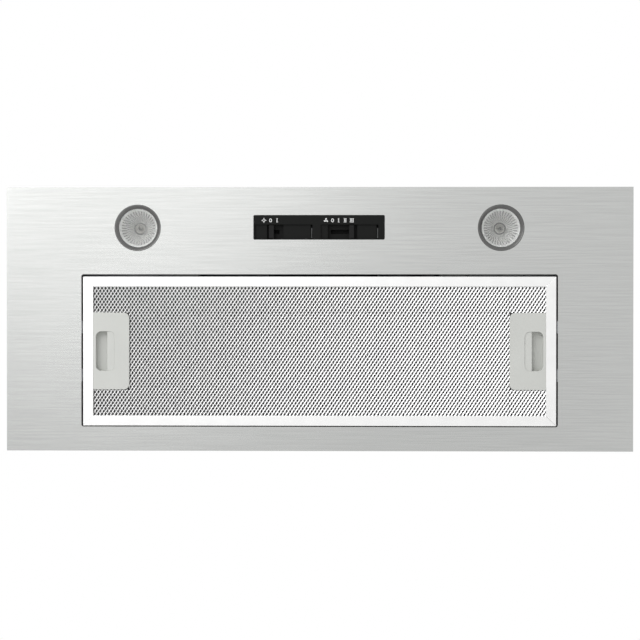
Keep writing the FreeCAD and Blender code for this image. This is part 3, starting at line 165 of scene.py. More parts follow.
class Finish(Nodes):
    """One procedural material on the principled shader."""

    def __init__(self, name, colour, roughness, metallic=0.0, **fixed):
        self.material = bpy.data.materials.new(name)
        self.material.use_nodes = True
        self.material.diffuse_color = (*colour[:3], 1.0)
        super().__init__(self.material.node_tree)
        output = self.tree.nodes.new("ShaderNodeOutputMaterial")
        self.shader = self.tree.nodes.new("ShaderNodeBsdfPrincipled")
        self.tree.links.new(self.shader.outputs[0], output.inputs["Surface"])
        self.set("Base Color", (*colour[:3], 1.0))
        self.set("Roughness", roughness)
        self.set("Metallic", metallic)
        for socket, value in fixed.items():
            self.set(socket.replace("_", " "), value)
        self.place = self.add("ShaderNodeTexCoord", output="Object")

    def set(self, socket, value):
        self.plug(self.shader.inputs[socket], value)

    def stretched(self, x, y, z, turn=0.0):
        """Object coordinates multiplied per axis, in cells per metre."""
        return self.add("ShaderNodeMapping", None,
                        {"Vector": self.place, "Scale": (x, y, z), "Rotation": (0.0, 0.0, turn)})

    def noise(self, vector, detail=3.0, roughness=0.55, scale=1.0):
        return self.add("ShaderNodeTexNoise", None,
                        {"Vector": vector, "Scale": scale, "Detail": detail, "Roughness": roughness})

    def speckle(self, density, **settings):
        """Noise of so many cells per metre, the same along each axis or one number per axis."""
        sides = density if isinstance(density, tuple) else (density,) * 3
        return self.noise(self.stretched(*sides), **settings)

    def cells(self, vector, feature="F1", output="Distance", randomness=1.0):
        return self.add("ShaderNodeTexVoronoi", {"feature": feature},
                        {"Vector": vector, "Scale": 1.0, "Randomness": randomness}, output)

    def axis(self, name):
        return self.add("ShaderNodeSeparateXYZ", None, {"Vector": self.place}, name)

    def blend(self, factor, first, second):
        """A colour between two, 6 and 7 being the colour sockets of a Mix node."""
        ends = [end if isinstance(end, Wire) else (*end[:3], 1.0) for end in (first, second)]
        return self.add("ShaderNodeMix", {"data_type": "RGBA"}, {0: factor, 6: ends[0], 7: ends[1]}, 2)

    def relief(self, height, distance, strength=1.0):
        bump = self.add("ShaderNodeBump", None, {
            "Height": height, "Distance": distance, "Strength": strength})
        self.set("Normal", bump)


def lighter(colour, share):
    return tuple(min(1.0, channel * share) for channel in colour[:3])


# ---------------------------------------------------------------- finishes
def brushed_stainless(name, colour):
    """Satin stainless with fine scratches along X and a faint cloudiness."""
    steel = Finish(name, colour, 0.25, 1.0)
    long_lines = steel.speckle((9.0, 2600.0, 2600.0), detail=4.0, roughness=0.7)
    short_lines = steel.speckle((60.0, 5200.0, 5200.0), detail=2.0)
    streaks = steel.speckle((14.0, 620.0, 620.0), detail=3.0)
    cloud = steel.speckle((5.0, 14.0, 14.0), detail=2.0)
    grain = long_lines * 0.65 + short_lines * 0.35
    shade = grain.between(0.3, 0.7) * 0.35 + streaks.between(0.3, 0.7) * 0.65
    brushed = steel.blend(shade, lighter(colour, 0.94), lighter(colour, 1.055))
    # The folded seat inside the filter opening is toned down, as it lies in deep shade in the photo.
    height, across, along = steel.axis("Z"), steel.axis("Y"), steel.axis("X")
    back = height.between(1.1 * MM, 1.6 * MM)
    back = back * across.between(-62 * MM, -60 * MM) * (across * -1.0).between(-132 * MM, -130 * MM)
    back = back * along.between(-0.3, -0.298) * (along * -1.0).between(-0.3, -0.298)
    steel.set("Base Color", steel.blend(back, brushed, lighter(colour, 0.2)))
    steel.set("Roughness", 0.18 + grain * 0.09 + cloud * 0.05 + back * 0.25)
    steel.relief(grain, 0.00004, 0.5)
    return steel.material


def bright_aluminium(name, colour, roughness):
    """Rolled aluminium sheet with very faint rolling marks."""
    sheet = Finish(name, colour, roughness, 1.0)
    marks = sheet.speckle((40.0, 900.0, 900.0), detail=3.0)
    fog = sheet.speckle(60.0, detail=3.0)
    sheet.set("Base Color", sheet.blend(fog, lighter(colour, 0.96), lighter(colour, 1.03)))
    sheet.set("Roughness", roughness - 0.06 + marks * 0.08 + fog * 0.06)
    sheet.relief(marks, 0.00002, 0.4)
    return sheet.material


def galvanised(name, colour):
    """Hot-dip zinc: flat spangles of slightly different grey with soft borders."""
    zinc = Finish(name, colour, 0.42, 1.0)
    spangle = zinc.cells(zinc.stretched(95.0, 95.0, 95.0), output="Color")
    tone = zinc.add("ShaderNodeSeparateColor", None, {"Color": spangle}, "Red")
    fern = zinc.speckle(420.0, detail=5.0, roughness=0.7)
    stain = zinc.speckle(9.0, detail=3.0)
    grey = tone * 0.55 + fern * 0.25 + stain * 0.2
    zinc.set("Base Color", zinc.blend(grey, lighter(colour, 0.8), lighter(colour, 1.15)))
    zinc.set("Roughness", 0.34 + tone * 0.16 + fern * 0.08)
    zinc.relief(tone * 0.6 + fern * 0.4, 0.00006, 0.4)
    return zinc.material


def moulded_plastic(name, colour, roughness=0.45, grain_size=0.35, depth=0.00002, gloss=0.5):
    """Injection-moulded plastic with a spark-eroded grain and a hint of flow marks."""
    plastic = Finish(name, colour, roughness, Specular_IOR_Level=gloss)
    cell = 1.0 / (grain_size * MM)
    grain = plastic.speckle(cell, detail=2.0)
    flow = plastic.speckle((30.0, 18.0, 30.0), detail=2.0)
    plastic.set("Base Color", plastic.blend(flow, lighter(colour, 0.95), lighter(colour, 1.05)))
    plastic.set("Roughness", roughness - 0.05 + grain * 0.08 + flow * 0.04)
    plastic.relief(grain, depth, 0.6)
    return plastic.material


def plated_steel(name, colour, roughness=0.25):
    """Zinc-plated or ground steel with fine turning marks."""
    steel = Finish(name, colour, roughness, 1.0)
    marks = steel.speckle((1500.0, 300.0, 1500.0), detail=2.0)
    fog = steel.speckle(120.0, detail=3.0)
    steel.set("Base Color", steel.blend(fog, lighter(colour, 0.88), lighter(colour, 1.08)))
    steel.set("Roughness", roughness + marks * 0.1 + fog * 0.1)
    steel.relief(marks, 0.00001, 0.5)
    return steel.material


def cast_metal(name, colour, roughness=0.5, metallic=1.0):
    """Die-cast or laminated metal with a coarse skin."""
    metal = Finish(name, colour, roughness, metallic)
    pits = metal.speckle(900.0, detail=4.0, roughness=0.7)
    dirt = metal.speckle(50.0, detail=3.0)
    metal.set("Base Color", metal.blend(dirt, lighter(colour, 0.8), lighter(colour, 1.1)))
    metal.set("Roughness", roughness - 0.08 + pits * 0.16)
    metal.relief(pits, 0.00005, 0.6)
    return metal.material


def lamination(name, colour):
    """Thin varnished iron sheets stacked along the motor's axle."""
    iron = Finish(name, colour, 0.5, 0.8)
    across = iron.axis("X")
    sheets = iron.maths("PINGPONG", across, 0.00025) * 4000.0
    dirt = iron.speckle(80.0, detail=3.0)
    iron.set("Base Color", iron.blend(sheets * 0.7 + dirt * 0.3, lighter(colour, 0.6), lighter(colour, 1.25)))
    iron.set("Roughness", 0.4 + dirt * 0.2)
    iron.relief(sheets, 0.00005, 0.7)
    return iron.material


def winding(name, colour):
    """Enamelled copper wire laid in rings round the axle."""
    centre_y, centre_z = axle_place()
    wire = Finish(name, colour, 0.3, 0.75, Coat_Weight=0.5)
    across = (wire.axis("Y") - centre_y) ** 2.0 + (wire.axis("Z") - centre_z) ** 2.0
    rings = wire.maths("PINGPONG", across ** 0.5, 0.0004) * 2500.0
    varnish = wire.speckle(140.0, detail=3.0)
    shade = rings * 0.7 + varnish * 0.3
    wire.set("Base Color", wire.blend(shade, lighter(colour, 0.45), lighter(colour, 1.25)))
    wire.set("Roughness", 0.22 + varnish * 0.2)
    wire.relief(rings, 0.00025, 0.8)
    return wire.material


def axle_place():
    low, high = low_high("motor_shaft")
    return (low.y + high.y) / 2, (low.z + high.z) / 2


def clear_glass(name, colour, roughness=0.0, ior=1.45):
    """Clear pressed glass, faintly wavy. Its low alpha lets the lamps' light reach what lies behind."""
    glass = Finish(name, colour, roughness, 0.0, Transmission_Weight=1.0, IOR=ior, Alpha=0.3)
    wave = glass.speckle(120.0, detail=2.0)
    film = glass.speckle(40.0, detail=2.0)
    glass.set("Roughness", roughness + film * 0.006)
    glass.relief(wave, 0.00002, 0.2)
    return glass.material


def mirror_bowl(name, colour):
    """Stands in for evaporated aluminium: mostly matt, because a full mirror so deep comes out dark."""
    bowl = Finish(name, colour, 0.08, 0.12)
    haze = bowl.speckle(200.0, detail=3.0)
    groove = bowl.add("ShaderNodeAttribute", {"attribute_name": "groove"}, output="Fac")
    plain = bowl.blend(haze, lighter(colour, 0.92), lighter(colour, 1.02))
    # Painted shade: the marked flute lines get 0.28 of the reflector colour, standing for their darker
    # reflections.
    bowl.set("Base Color", bowl.blend(groove.between(0.5, 1.0), plain, lighter(colour, 0.28)))
    bowl.set("Roughness", 0.06 + haze * 0.1)
    bowl.relief(haze, 0.00003, 0.3)
    return bowl.material


def satin_paint(name, colour, roughness=0.4, metallic=0.0):
    """Sprayed paint with a light orange-peel skin."""
    paint = Finish(name, colour, roughness, metallic, Coat_Weight=0.1)
    peel = paint.speckle(700.0, detail=2.0)
    dust = paint.speckle(90.0, detail=4.0)
    paint.set("Base Color", paint.blend(dust, lighter(colour, 0.88), lighter(colour, 1.1)))
    paint.set("Roughness", roughness - 0.05 + peel * 0.06 + dust * 0.06)
    paint.relief(peel, 0.00003, 0.5)
    return paint.material


def knitted_pad(name, colour):
    """Layers of crumpled aluminium mesh seen through the sheet: threads in the pad colour over painted shade
    for the dark depth between them.
    """
    pad = Finish(name, colour, 0.4, 0.9)
    first = pad.cells(pad.stretched(420.0, 300.0, 300.0, 0.5), feature="DISTANCE_TO_EDGE")
    second = pad.cells(pad.stretched(300.0, 460.0, 300.0, -0.7), feature="DISTANCE_TO_EDGE")
    crumple = pad.speckle(130.0, detail=3.0)
    thread = 1.0 - first.least(second).between(0.02, 0.16)
    shade = thread * 0.7 + crumple * 0.3
    # Painted shade: the gaps between threads get a quarter of the already dark pad colour.
    pad.set("Base Color", pad.blend(shade, lighter(colour, 0.25), colour))
    pad.set("Roughness", 0.35 + crumple * 0.2)
    pad.relief(thread, 0.0004, 0.8)
    return pad.material


# ---------------------------------------------------------------- modelling helpers
finishes = {}


def clear_selection():
    if bpy.context.object and bpy.context.object.mode != "OBJECT":
        bpy.ops.object.mode_set(mode="OBJECT")
    bpy.ops.object.select_all(action="DESELECT")


def take(obj):
    clear_selection()
    obj.select_set(True)
    bpy.context.view_layer.objects.active = obj
    return obj


def edit_all():
    bpy.ops.object.mode_set(mode="EDIT")
    bpy.ops.mesh.select_all(action="SELECT")


def named(name):
    obj = bpy.context.active_object
    obj.name = name
    obj.data.name = name
    return obj


def pick(obj, kind, test):
    """In edit mode, selects only the vertices, edges or faces whose centre passes the test."""
    modes = {"VERT": "verts", "EDGE": "edges", "FACE": "faces"}
    bpy.ops.mesh.select_mode(type=kind)
    bpy.ops.mesh.select_all(action="DESELECT")
    shape = bmesh.from_edit_mesh(obj.data)
    for item in getattr(shape, modes[kind]):
        if kind == "VERT":
            centre = item.co
        elif kind == "EDGE":
            centre = (item.verts[0].co + item.verts[1].co) / 2
        else:
            centre = item.calc_center_median()
        item.select_set(bool(test(centre)))
    shape.select_flush_mode()
    bmesh.update_edit_mesh(obj.data)


def modify(obj, kind, **settings):
    """Adds a modifier, sets it and applies it."""
    take(obj)
    modifier = obj.modifiers.new(kind.title(), kind)
    for key, value in settings.items():
        setattr(modifier, key, value)
    bpy.ops.object.modifier_apply(modifier=modifier.name)
    return obj


def soften_edges(obj, width, segments=2, corner=35.0):
    modify(obj, "BEVEL", width=width, segments=segments, limit_method="ANGLE",
           angle_limit=math.radians(corner), use_clamp_overlap=True)
    smooth(obj)
    modify(obj, "WEIGHTED_NORMAL", keep_sharp=True, weight=90)
    return obj


def smooth(obj, corner=32.0):
    take(obj)
    bpy.ops.object.shade_smooth_by_angle(angle=math.radians(corner))
    return obj


def outward(obj):
    take(obj)
    edit_all()
    bpy.ops.mesh.remove_doubles(threshold=0.000002)
    bpy.ops.mesh.normals_make_consistent(inside=False)
    bpy.ops.object.mode_set(mode="OBJECT")
    return obj


def copied(node, name):
    """A merged copy of a CAD piece, with its flat faces whole again."""
    clear_selection()
    source = nodes[node]
    obj = bpy.data.objects.new(name, source.data.copy())
    obj.data.name = name
    bpy.context.scene.collection.objects.link(obj)
    take(obj)
    bpy.ops.mesh.customdata_custom_splitnormals_clear()
    edit_all()
    bpy.ops.mesh.remove_doubles(threshold=0.000002)
    bpy.ops.mesh.dissolve_limited(angle_limit=math.radians(0.6))
    bpy.ops.object.mode_set(mode="OBJECT")
    return obj


# Pieces whose look differs from the finish their record names. The dark pad, switch carrier and switches are
# painted shade.
OWN_FINISHES = {
    "filter_pad": "filter_pad", "filter_mesh_upper": "mesh_strands", "filter_mesh_lower": "mesh_strands",
    # Painted shade: the galvanised carrier and the white switches are made near-black for the shade behind
    # the panel's slots.
    "light_slider": "knob_plastic", "fan_slider": "knob_plastic", "switch_carrier": "phosphated",
    "light_switch": "black_plastic", "fan_switch": "black_plastic",
}


def settle(obj, body, finish, *replaced):
    """Puts the piece's place into its mesh, gives it its finish and hangs it on its body."""
    take(obj)
    bpy.ops.object.transform_apply(location=True, rotation=True, scale=True)
    obj.data.materials.clear()
    obj.data.materials.append(finishes[finish])
    if replaced:
        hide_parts(*replaced)
    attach(obj, body)
    return obj


def dressed(node, width, segments=2, corner=35.0):
    """Stands for a CAD piece: the same shape with rounded edges."""
    body = nodes[node]["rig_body"]
    obj = soften_edges(copied(node, node + "_dressed"), width, segments, corner)
    return settle(obj, body, OWN_FINISHES.get(node, slot_of[node]), node)


def joined(parts, name):
    clear_selection()
    for part in parts:
        part.select_set(True)
    bpy.context.view_layer.objects.active = parts[0]
    if len(parts) > 1:
        bpy.ops.object.join()
    return named(name)


def duplicate(obj, shift, name):
    """A copy with its own mesh, moved by `shift`."""
    twin = bpy.data.objects.new(name, obj.data.copy())
    twin.data.name = name
    bpy.context.scene.collection.objects.link(twin)
    twin.location = Vector(obj.location) + Vector(shift)
    return twin


slot_of = {piece["node"]: piece["material_slot"] for piece in frame["record"]["subparts"]}


# ---------------------------------------------------------------- sizes and colours that a user may change
def length(name, description, default, low=0.00005, high=1.0):
    return FloatProperty(name=name, description=description, default=default, min=low, max=high,
                         unit="LENGTH", precision=5)


def colour(name, description, default):
    return FloatVectorProperty(name=name, description=description, default=default, subtype="COLOR", size=3,
                               min=0.0, max=1.0)


class InsertSizes(bpy.types.PropertyGroup):
    """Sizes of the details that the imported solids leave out."""

    sheet_edge: length("Sheet edge", "Rounding of folded and cut sheet edges", 0.0003)
    rail_edge: length("Rail edge", "Rounding of the filter frame's edges and mitres", 0.0007)
    moulded_edge: length("Moulded edge", "Rounding of the latch covers' edges", 0.0012)
    control_edge: length("Control edge", "Rounding of the control panel's edges", 0.0003)
    strand_pitch_x: length("Mesh pitch across", "Distance between two mesh openings in a row", 0.00402)
    strand_pitch_y: length("Mesh pitch along", "Distance between two rows of one kind of opening", 0.00612)
    strand_twist: length("Strand twist", "How far a strand's two edges lie apart in height", 0.00062)
    strand_sheet: length("Strand sheet", "Thickness of the stretched sheet", 0.0003)
    reflector_rim: length("Reflector rim", "Width of the flat rim round each reflector", 0.0026)
    flute_depth: length("Flute depth", "Depth of the reflector's flutes", 0.0014)
    mark_height: length("Mark height", "Height of the printed marks", 0.0046)
    strand_share: FloatProperty(name="Opening share", default=0.72, min=0.1, max=0.9, subtype="FACTOR",
                                description="Part of a mesh cell that is open, along each side")
    flutes: IntProperty(name="Flutes", description="Flutes round each lamp reflector",
                        default=36, min=8, max=90)


class InsertColours(bpy.types.PropertyGroup):
    """Base colours of the finishes, linear."""

    stainless: colour("Stainless", "Brushed stainless face plate", (0.56, 0.567, 0.557))
    aluminium: colour("Filter aluminium", "Filter frame rails", (0.87, 0.87, 0.865))
    strands: colour("Mesh strands", "Expanded mesh of the filter", (0.905, 0.905, 0.905))
    # Painted shade: near-black for the shade the pad lies in behind the sheet; the knitted aluminium itself
    # is bright.
    pad: colour("Filter pad", "Layered mesh pad behind the sheet", (0.13, 0.13, 0.13))
    zinc: colour("Galvanised sheet", "Chassis and motor box", (0.6, 0.62, 0.63))
    latch_grey: colour("Latch grey", "Latch covers and finger tabs", (0.66, 0.67, 0.64))
    panel_black: colour("Panel black", "Control panel and knobs", (0.009, 0.0095, 0.009))
    knob_black: colour("Knob black", "Slide knobs", (0.013, 0.013, 0.013))
    lamp_ring: colour("Lamp ring", "Dark nickel ring round each lamp", (0.16, 0.16, 0.157))
    marks: colour("Marks", "Printed marks on the control panel", (0.85, 0.86, 0.85))
    backdrop: colour("Backdrop", "Floor and background", (1.0, 1.0, 1.0))


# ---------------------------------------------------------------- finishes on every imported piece
class INSERT_OT_finishes(bpy.types.Operator):
    """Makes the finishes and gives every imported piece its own"""

    bl_idname = "insert.finishes"
    bl_label = "Finishes"

    def execute(self, context):
        colours = context.scene.insert_colours
        table = (
            ("brushed_stainless", brushed_stainless, colours.stainless),
            ("filter_aluminium", bright_aluminium, colours.aluminium, 0.42),
            ("mesh_strands", bright_aluminium, colours.strands, 0.3),
            # Painted shade: the pad's near-black colour stands for the shade behind the sheet.
            ("filter_pad", knitted_pad, colours.pad),
            ("galvanised_sheet", galvanised, colours.zinc),
            ("spring_steel", plated_steel, (0.5, 0.51, 0.53), 0.3),
            ("zinc_plated", plated_steel, (0.68, 0.69, 0.7), 0.22),
            ("grey_plastic", moulded_plastic, colours.latch_grey, 0.42),
            ("black_plastic", moulded_plastic, colours.panel_black, 0.42, 0.35, 0.00002, 0.1),
            ("knob_plastic", moulded_plastic, colours.knob_black, 0.4, 0.35, 0.00002, 0.12),
            ("casing_plastic", moulded_plastic, (0.1, 0.1, 0.11), 0.5, 0.8),
            ("wheel_plastic", moulded_plastic, (0.16, 0.16, 0.17), 0.5, 0.8),
            ("light_plastic", moulded_plastic, (0.6, 0.6, 0.58), 0.5, 0.8),
            ("white_plastic", moulded_plastic, (0.78, 0.78, 0.75), 0.45, 0.6),
            ("black_rubber", moulded_plastic, (0.03, 0.03, 0.03), 0.75, 0.5, 0.00004),
            ("ceramic_white", moulded_plastic, (0.8, 0.79, 0.76), 0.6, 0.25, 0.00003),
            ("cast_aluminium", cast_metal, (0.62, 0.63, 0.64), 0.45),
            ("sintered_bronze", cast_metal, (0.5, 0.33, 0.15), 0.45),
            ("laminated_iron", lamination, (0.2, 0.2, 0.21)),
            ("enamelled_copper", winding, (0.6, 0.22, 0.08)),
            ("lamp_ring_paint", satin_paint, colours.lamp_ring, 0.22, 1.0),
            ("clear_glass", clear_glass, (0.95, 0.97, 0.96)),
            ("quartz", clear_glass, (0.97, 0.97, 0.97), 0.01),
            ("reflector_mirror", mirror_bowl, (0.95, 0.95, 0.94)),
            ("facet_gloss", moulded_plastic, (0.17, 0.175, 0.175), 0.25),
            # Painted shade: near-black steel standing for the galvanised switch carrier in shade.
            ("phosphated", plated_steel, (0.03, 0.03, 0.032), 0.5),
            ("tungsten", cast_metal, (0.55, 0.55, 0.55), 0.35),
            ("printed_marks", satin_paint, colours.marks, 0.5),
        )
        for name, make, *settings in table:
            finishes[name] = make(name, *settings)
        for node, obj in nodes.items():
            finish = finishes[OWN_FINISHES.get(node, slot_of[node])]
            for material_slot in obj.material_slots:
                material_slot.material = finish
        return {"FINISHED"}


# ---------------------------------------------------------------- sheet metal
class INSERT_OT_sheet_metal(bpy.types.Operator):
    """Rounds the edges of the plate, the chassis and the other folded sheets"""

    bl_idname = "insert.sheet_metal"
    bl_label = "Sheet metal"

    def execute(self, context):
        edge = context.scene.insert_sizes.sheet_edge
        for node in ("face_plate", "chassis", "motor_box", "compartment_wall", "side_clamps",
                     "switch_carrier"):
            dressed(node, edge)
        return {"FINISHED"}


class INSERT_OT_outlet(bpy.types.Operator):
    """Rounds the moulded outlet collar, its two flaps and the electrical boxes on top"""

    bl_idname = "insert.outlet"
    bl_label = "Outlet and boxes"

    def execute(self, context):
        edge = context.scene.insert_sizes.moulded_edge
        for node in ("outlet_collar", "damper_flap_left", "damper_flap_right", "junction_box",
                     "junction_cover", "cable_gland", "lamp_transformer", "fan_casing_left",
                     "fan_casing_right"):
            dressed(node, edge)
        return {"FINISHED"}


# ---------------------------------------------------------------- grease filter
class INSERT_OT_filter_frame(bpy.types.Operator):
    """Rounds the filter's four rails so that their mitres show as fine lines"""

    bl_idname = "insert.filter_frame"
    bl_label = "Filter frame"

    def execute(self, context):
        edge = context.scene.insert_sizes.rail_edge
        for place in ("front", "rear", "left", "right"):
            dressed("filter_rail_" + place, edge, 3)
        return {"FINISHED"}


def mesh_cell(sizes):
    """One opening of the stretched sheet with its four strands, its side corners apart in height."""
    half_x, half_y = sizes.strand_pitch_x / 2, sizes.strand_pitch_y / 2
    clear_selection()
    bpy.ops.mesh.primitive_circle_add(vertices=4, radius=1.0)
    cell = named("mesh_cell")
    cell.scale = (half_x, half_y, 1.0)
    bpy.ops.object.transform_apply(scale=True)
    bpy.ops.object.mode_set(mode="EDIT")
    bpy.ops.mesh.select_mode(type="VERT")
    bpy.ops.mesh.select_all(action="SELECT")
    bpy.ops.mesh.extrude_region_move()
    bpy.ops.transform.resize(value=(sizes.strand_share, sizes.strand_share, 1.0))
    for side in (-1, 1):
        pick(cell, "VERT", lambda spot: side * spot.x > 0 and abs(spot.y) < half_y / 9
             and abs(spot.x) < 0.8 * half_x)
        bpy.ops.transform.translate(value=(0.0, 0.0, side * sizes.strand_twist))
    bpy.ops.object.mode_set(mode="OBJECT")
    return cell


def trimmed(obj, low, high):
    """Cuts an open sheet to an upright box."""
    take(obj)
    bpy.ops.object.mode_set(mode="EDIT")
    for corner, direction in ((low, (-1, 0, 0)), (low, (0, -1, 0)), (high, (1, 0, 0)), (high, (0, 1, 0))):
        bpy.ops.mesh.select_all(action="SELECT")
        bpy.ops.mesh.bisect(plane_co=corner, plane_no=direction, clear_outer=True)
    bpy.ops.object.mode_set(mode="OBJECT")


def stretched_sheet(sizes, low, high, level, name):
    """The whole expanded sheet between two corners, left out under both latches."""
    cell = mesh_cell(sizes)
    pitch_x, pitch_y = sizes.strand_pitch_x, sizes.strand_pitch_y
    columns = math.ceil((high.x - low.x) / pitch_x) + 2
    rows = math.ceil((high.y - low.y) / pitch_y) + 2
    middle = (low + high) / 2
    cell.location = (middle.x - (columns - 1) * pitch_x / 2, middle.y - (rows - 1) * pitch_y / 2, level)
    take(cell)
    bpy.ops.object.transform_apply(location=True)
    other = duplicate(cell, (pitch_x / 2, pitch_y / 2, 0.0), "mesh_cell_between")
    take(other)
    bpy.ops.object.transform_apply(location=True)
    sheet = joined([cell, other], name)
    modify(sheet, "ARRAY", count=columns, use_relative_offset=False, use_constant_offset=True,
           constant_offset_displace=(pitch_x, 0.0, 0.0))
    modify(sheet, "ARRAY", count=rows, use_relative_offset=False, use_constant_offset=True,
           constant_offset_displace=(0.0, pitch_y, 0.0))
    take(sheet)
    edit_all()
    bpy.ops.mesh.remove_doubles(threshold=0.00002)
    bpy.ops.object.mode_set(mode="OBJECT")
    trimmed(sheet, low, high)
    gap = 0.0003
    for node in ("latch_cover_left", "latch_cover_right"):
        cover_from, cover_to = low_high(node)
        take(sheet)
        bpy.ops.object.mode_set(mode="EDIT")
        side_x = cover_to.x if cover_to.x < 0 else cover_from.x
        for corner, direction in (((side_x, 0, 0), (1, 0, 0)), ((0, cover_from.y, 0), (0, 1, 0)),
                                  ((0, cover_to.y, 0), (0, 1, 0))):
            bpy.ops.mesh.select_all(action="SELECT")
            bpy.ops.mesh.bisect(plane_co=corner, plane_no=direction)
        pick(sheet, "FACE", lambda spot: cover_from.x - gap < spot.x < cover_to.x + gap
             and cover_from.y < spot.y < cover_to.y)
        bpy.ops.mesh.delete(type="FACE")
        bpy.ops.object.mode_set(mode="OBJECT")
    outward(sheet)
    modify(sheet, "SOLIDIFY", thickness=sizes.strand_sheet, offset=0.0)
    return smooth(sheet, 28.0)


class INSERT_OT_expanded_mesh(bpy.types.Operator):
    """Stretches the fine aluminium sheet that covers both faces of the filter"""

    bl_idname = "insert.expanded_mesh"
    bl_label = "Expanded mesh"

    def execute(self, context):
        sizes = context.scene.insert_sizes
        for node in ("filter_mesh_lower", "filter_mesh_upper"):
            sheet_low, sheet_high = low_high(node)
            overlap = Vector((0.002, 0.002, 0.0))
            low = Vector((rail_left_high.x, rail_front_high.y, 0.0)) - overlap
            high = Vector((-rail_left_high.x, rail_rear_low.y, 0.0)) + overlap
            level = (sheet_low.z + sheet_high.z) / 2
            sheet = stretched_sheet(sizes, low, high, level, node.replace("filter_mesh", "stretched_sheet"))
            settle(sheet, "filter", "mesh_strands", node)
        return {"FINISHED"}


def rimmed(obj, level, width):
    """Rounds only the edges that lie at one height, as wide as asked."""
    take(obj)
    bpy.ops.object.mode_set(mode="EDIT")
    pick(obj, "EDGE", lambda spot: abs(spot.z - level) < 0.00005)
    bpy.ops.mesh.bevel(offset=width, segments=3, affect="EDGES", clamp_overlap=True)
    bpy.ops.object.mode_set(mode="OBJECT")
    smooth(obj)
    modify(obj, "WEIGHTED_NORMAL", keep_sharp=True, weight=90)
    return obj


class INSERT_OT_latches(bpy.types.Operator):
    """Rounds the rims of the two latch covers and their finger tabs"""

    bl_idname = "insert.latches"
    bl_label = "Latches"

    def execute(self, context):
        sizes = context.scene.insert_sizes
        for side in ("left", "right"):
            node = "latch_cover_" + side
            cover = rimmed(copied(node, node + "_dressed"), low_high(node)[0].z, sizes.moulded_edge * 0.7)
            settle(cover, "filter", "grey_plastic", node)
            dressed("latch_slider_" + side, sizes.moulded_edge * 0.5, 3)
        return {"FINISHED"}


class INSERT_OT_filter_pad(bpy.types.Operator):
    """Crumples the knitted pad that shows through the sheet's openings"""

    bl_idname = "insert.filter_pad"
    bl_label = "Filter pad"

    def execute(self, context):
        pad = copied("filter_pad", "knitted_pad")
        low, high = low_high("filter_pad")
        squeeze = 0.6
        edit_all()
        bpy.ops.transform.resize(value=(1.0, 1.0, squeeze), center_override=(low + high) / 2)
        bpy.ops.object.mode_set(mode="OBJECT")
        modify(pad, "REMESH", mode="VOXEL", voxel_size=0.0018)
        crumple = bpy.data.textures.new("crumple", "CLOUDS")
        crumple.noise_scale = 0.006
        crumple.noise_depth = 2
        modify(pad, "DISPLACE", texture=crumple, strength=0.0012, mid_level=0.6, texture_coords="LOCAL")
        smooth(pad, 60.0)
        settle(pad, "filter", "filter_pad", "filter_pad")
        return {"FINISHED"}


# ---------------------------------------------------------------- lamps
NECK_RADIUS, NECK_RING = 0.0065, 0.0062
CAP_RADIUS = 0.0014
GLASS_EDGE = 0.0007


def lamp_centre(side):
    low, high = low_high("lamp_ring_" + side)
    return (low + high) / 2


def fluted_bowl(sizes, centre, mouth, neck, low, high, name):
    """A bowl drawn up from its flat rim, every second line pushed in to make two tiers of flutes."""
    rings = 10
    tier = 0.6
    rim = mouth - sizes.reflector_rim
    clear_selection()
    bpy.ops.mesh.primitive_circle_add(vertices=2 * sizes.flutes, radius=mouth, fill_type="NOTHING",
                                      location=(centre.x, centre.y, low))
    bowl = named(name)
    bpy.ops.object.transform_apply(location=True)
    bpy.ops.object.mode_set(mode="EDIT")
    bpy.ops.mesh.select_mode(type="EDGE")
    bpy.ops.mesh.select_all(action="SELECT")
    radius = mouth
    for ring in range(rings + 1):
        share = ring / rings
        wider = math.sqrt(rim ** 2 * (1 - share) + neck ** 2 * share)
        rise = (high - low) * 0.98 / rings if ring else (high - low) * 0.02
        bpy.ops.mesh.extrude_edges_move(TRANSFORM_OT_translate={"value": (0.0, 0.0, rise)})
        bpy.ops.transform.resize(value=(wider / radius, wider / radius, 1.0),
                                 center_override=(centre.x, centre.y, low))
        radius = wider
    half_angle = math.pi / sizes.flutes
    step = 0.06 * (high - low)

    def on_flute(spot):
        if not low + step < spot.z < high - step:
            return False
        turn = round(math.atan2(spot.x - centre.x, spot.y - centre.y) / half_angle)
        return (turn + (spot.z > low + tier * (high - low))) % 2 == 0

    pick(bowl, "VERT", on_flute)
    inward = 1.0 - sizes.flute_depth / mouth
    bpy.ops.transform.resize(value=(inward, inward, 1.0), center_override=(centre.x, centre.y, low))
    bpy.ops.object.mode_set(mode="OBJECT")
    # Painted shade: the pushed-in flute lines are marked so the finish draws them dark.
    groove = bowl.data.color_attributes.new("groove", "FLOAT_COLOR", "POINT")
    for corner, shade in zip(bowl.data.vertices, groove.data):
        dark = 1.0 if on_flute(corner.co) else 0.0
        shade.color = (dark, dark, dark, 1.0)
    outward(bowl)
    modify(bowl, "SOLIDIFY", thickness=0.0006, offset=1.0)
    return smooth(bowl, 12.0)


def coil(name, radius, wire, turns, pitch, centre):
    """A fine filament: a small ring of wire screwed along the upright axis."""
    clear_selection()
    bpy.ops.mesh.primitive_circle_add(vertices=6, radius=wire, location=(radius, 0.0, 0.0),
                                      rotation=(math.pi / 2, 0.0, 0.0))
    thread = named(name)
    bpy.ops.object.transform_apply(location=True, rotation=True)
    modify(thread, "SCREW", angle=2 * math.pi * turns, screw_offset=pitch * turns, steps=12 * turns,
           render_steps=12 * turns, use_merge_vertices=True, merge_threshold=0.000001)
    outward(thread)
    thread.location = (centre.x, centre.y, centre.z - pitch * turns / 2)
    return smooth(thread, 60.0)


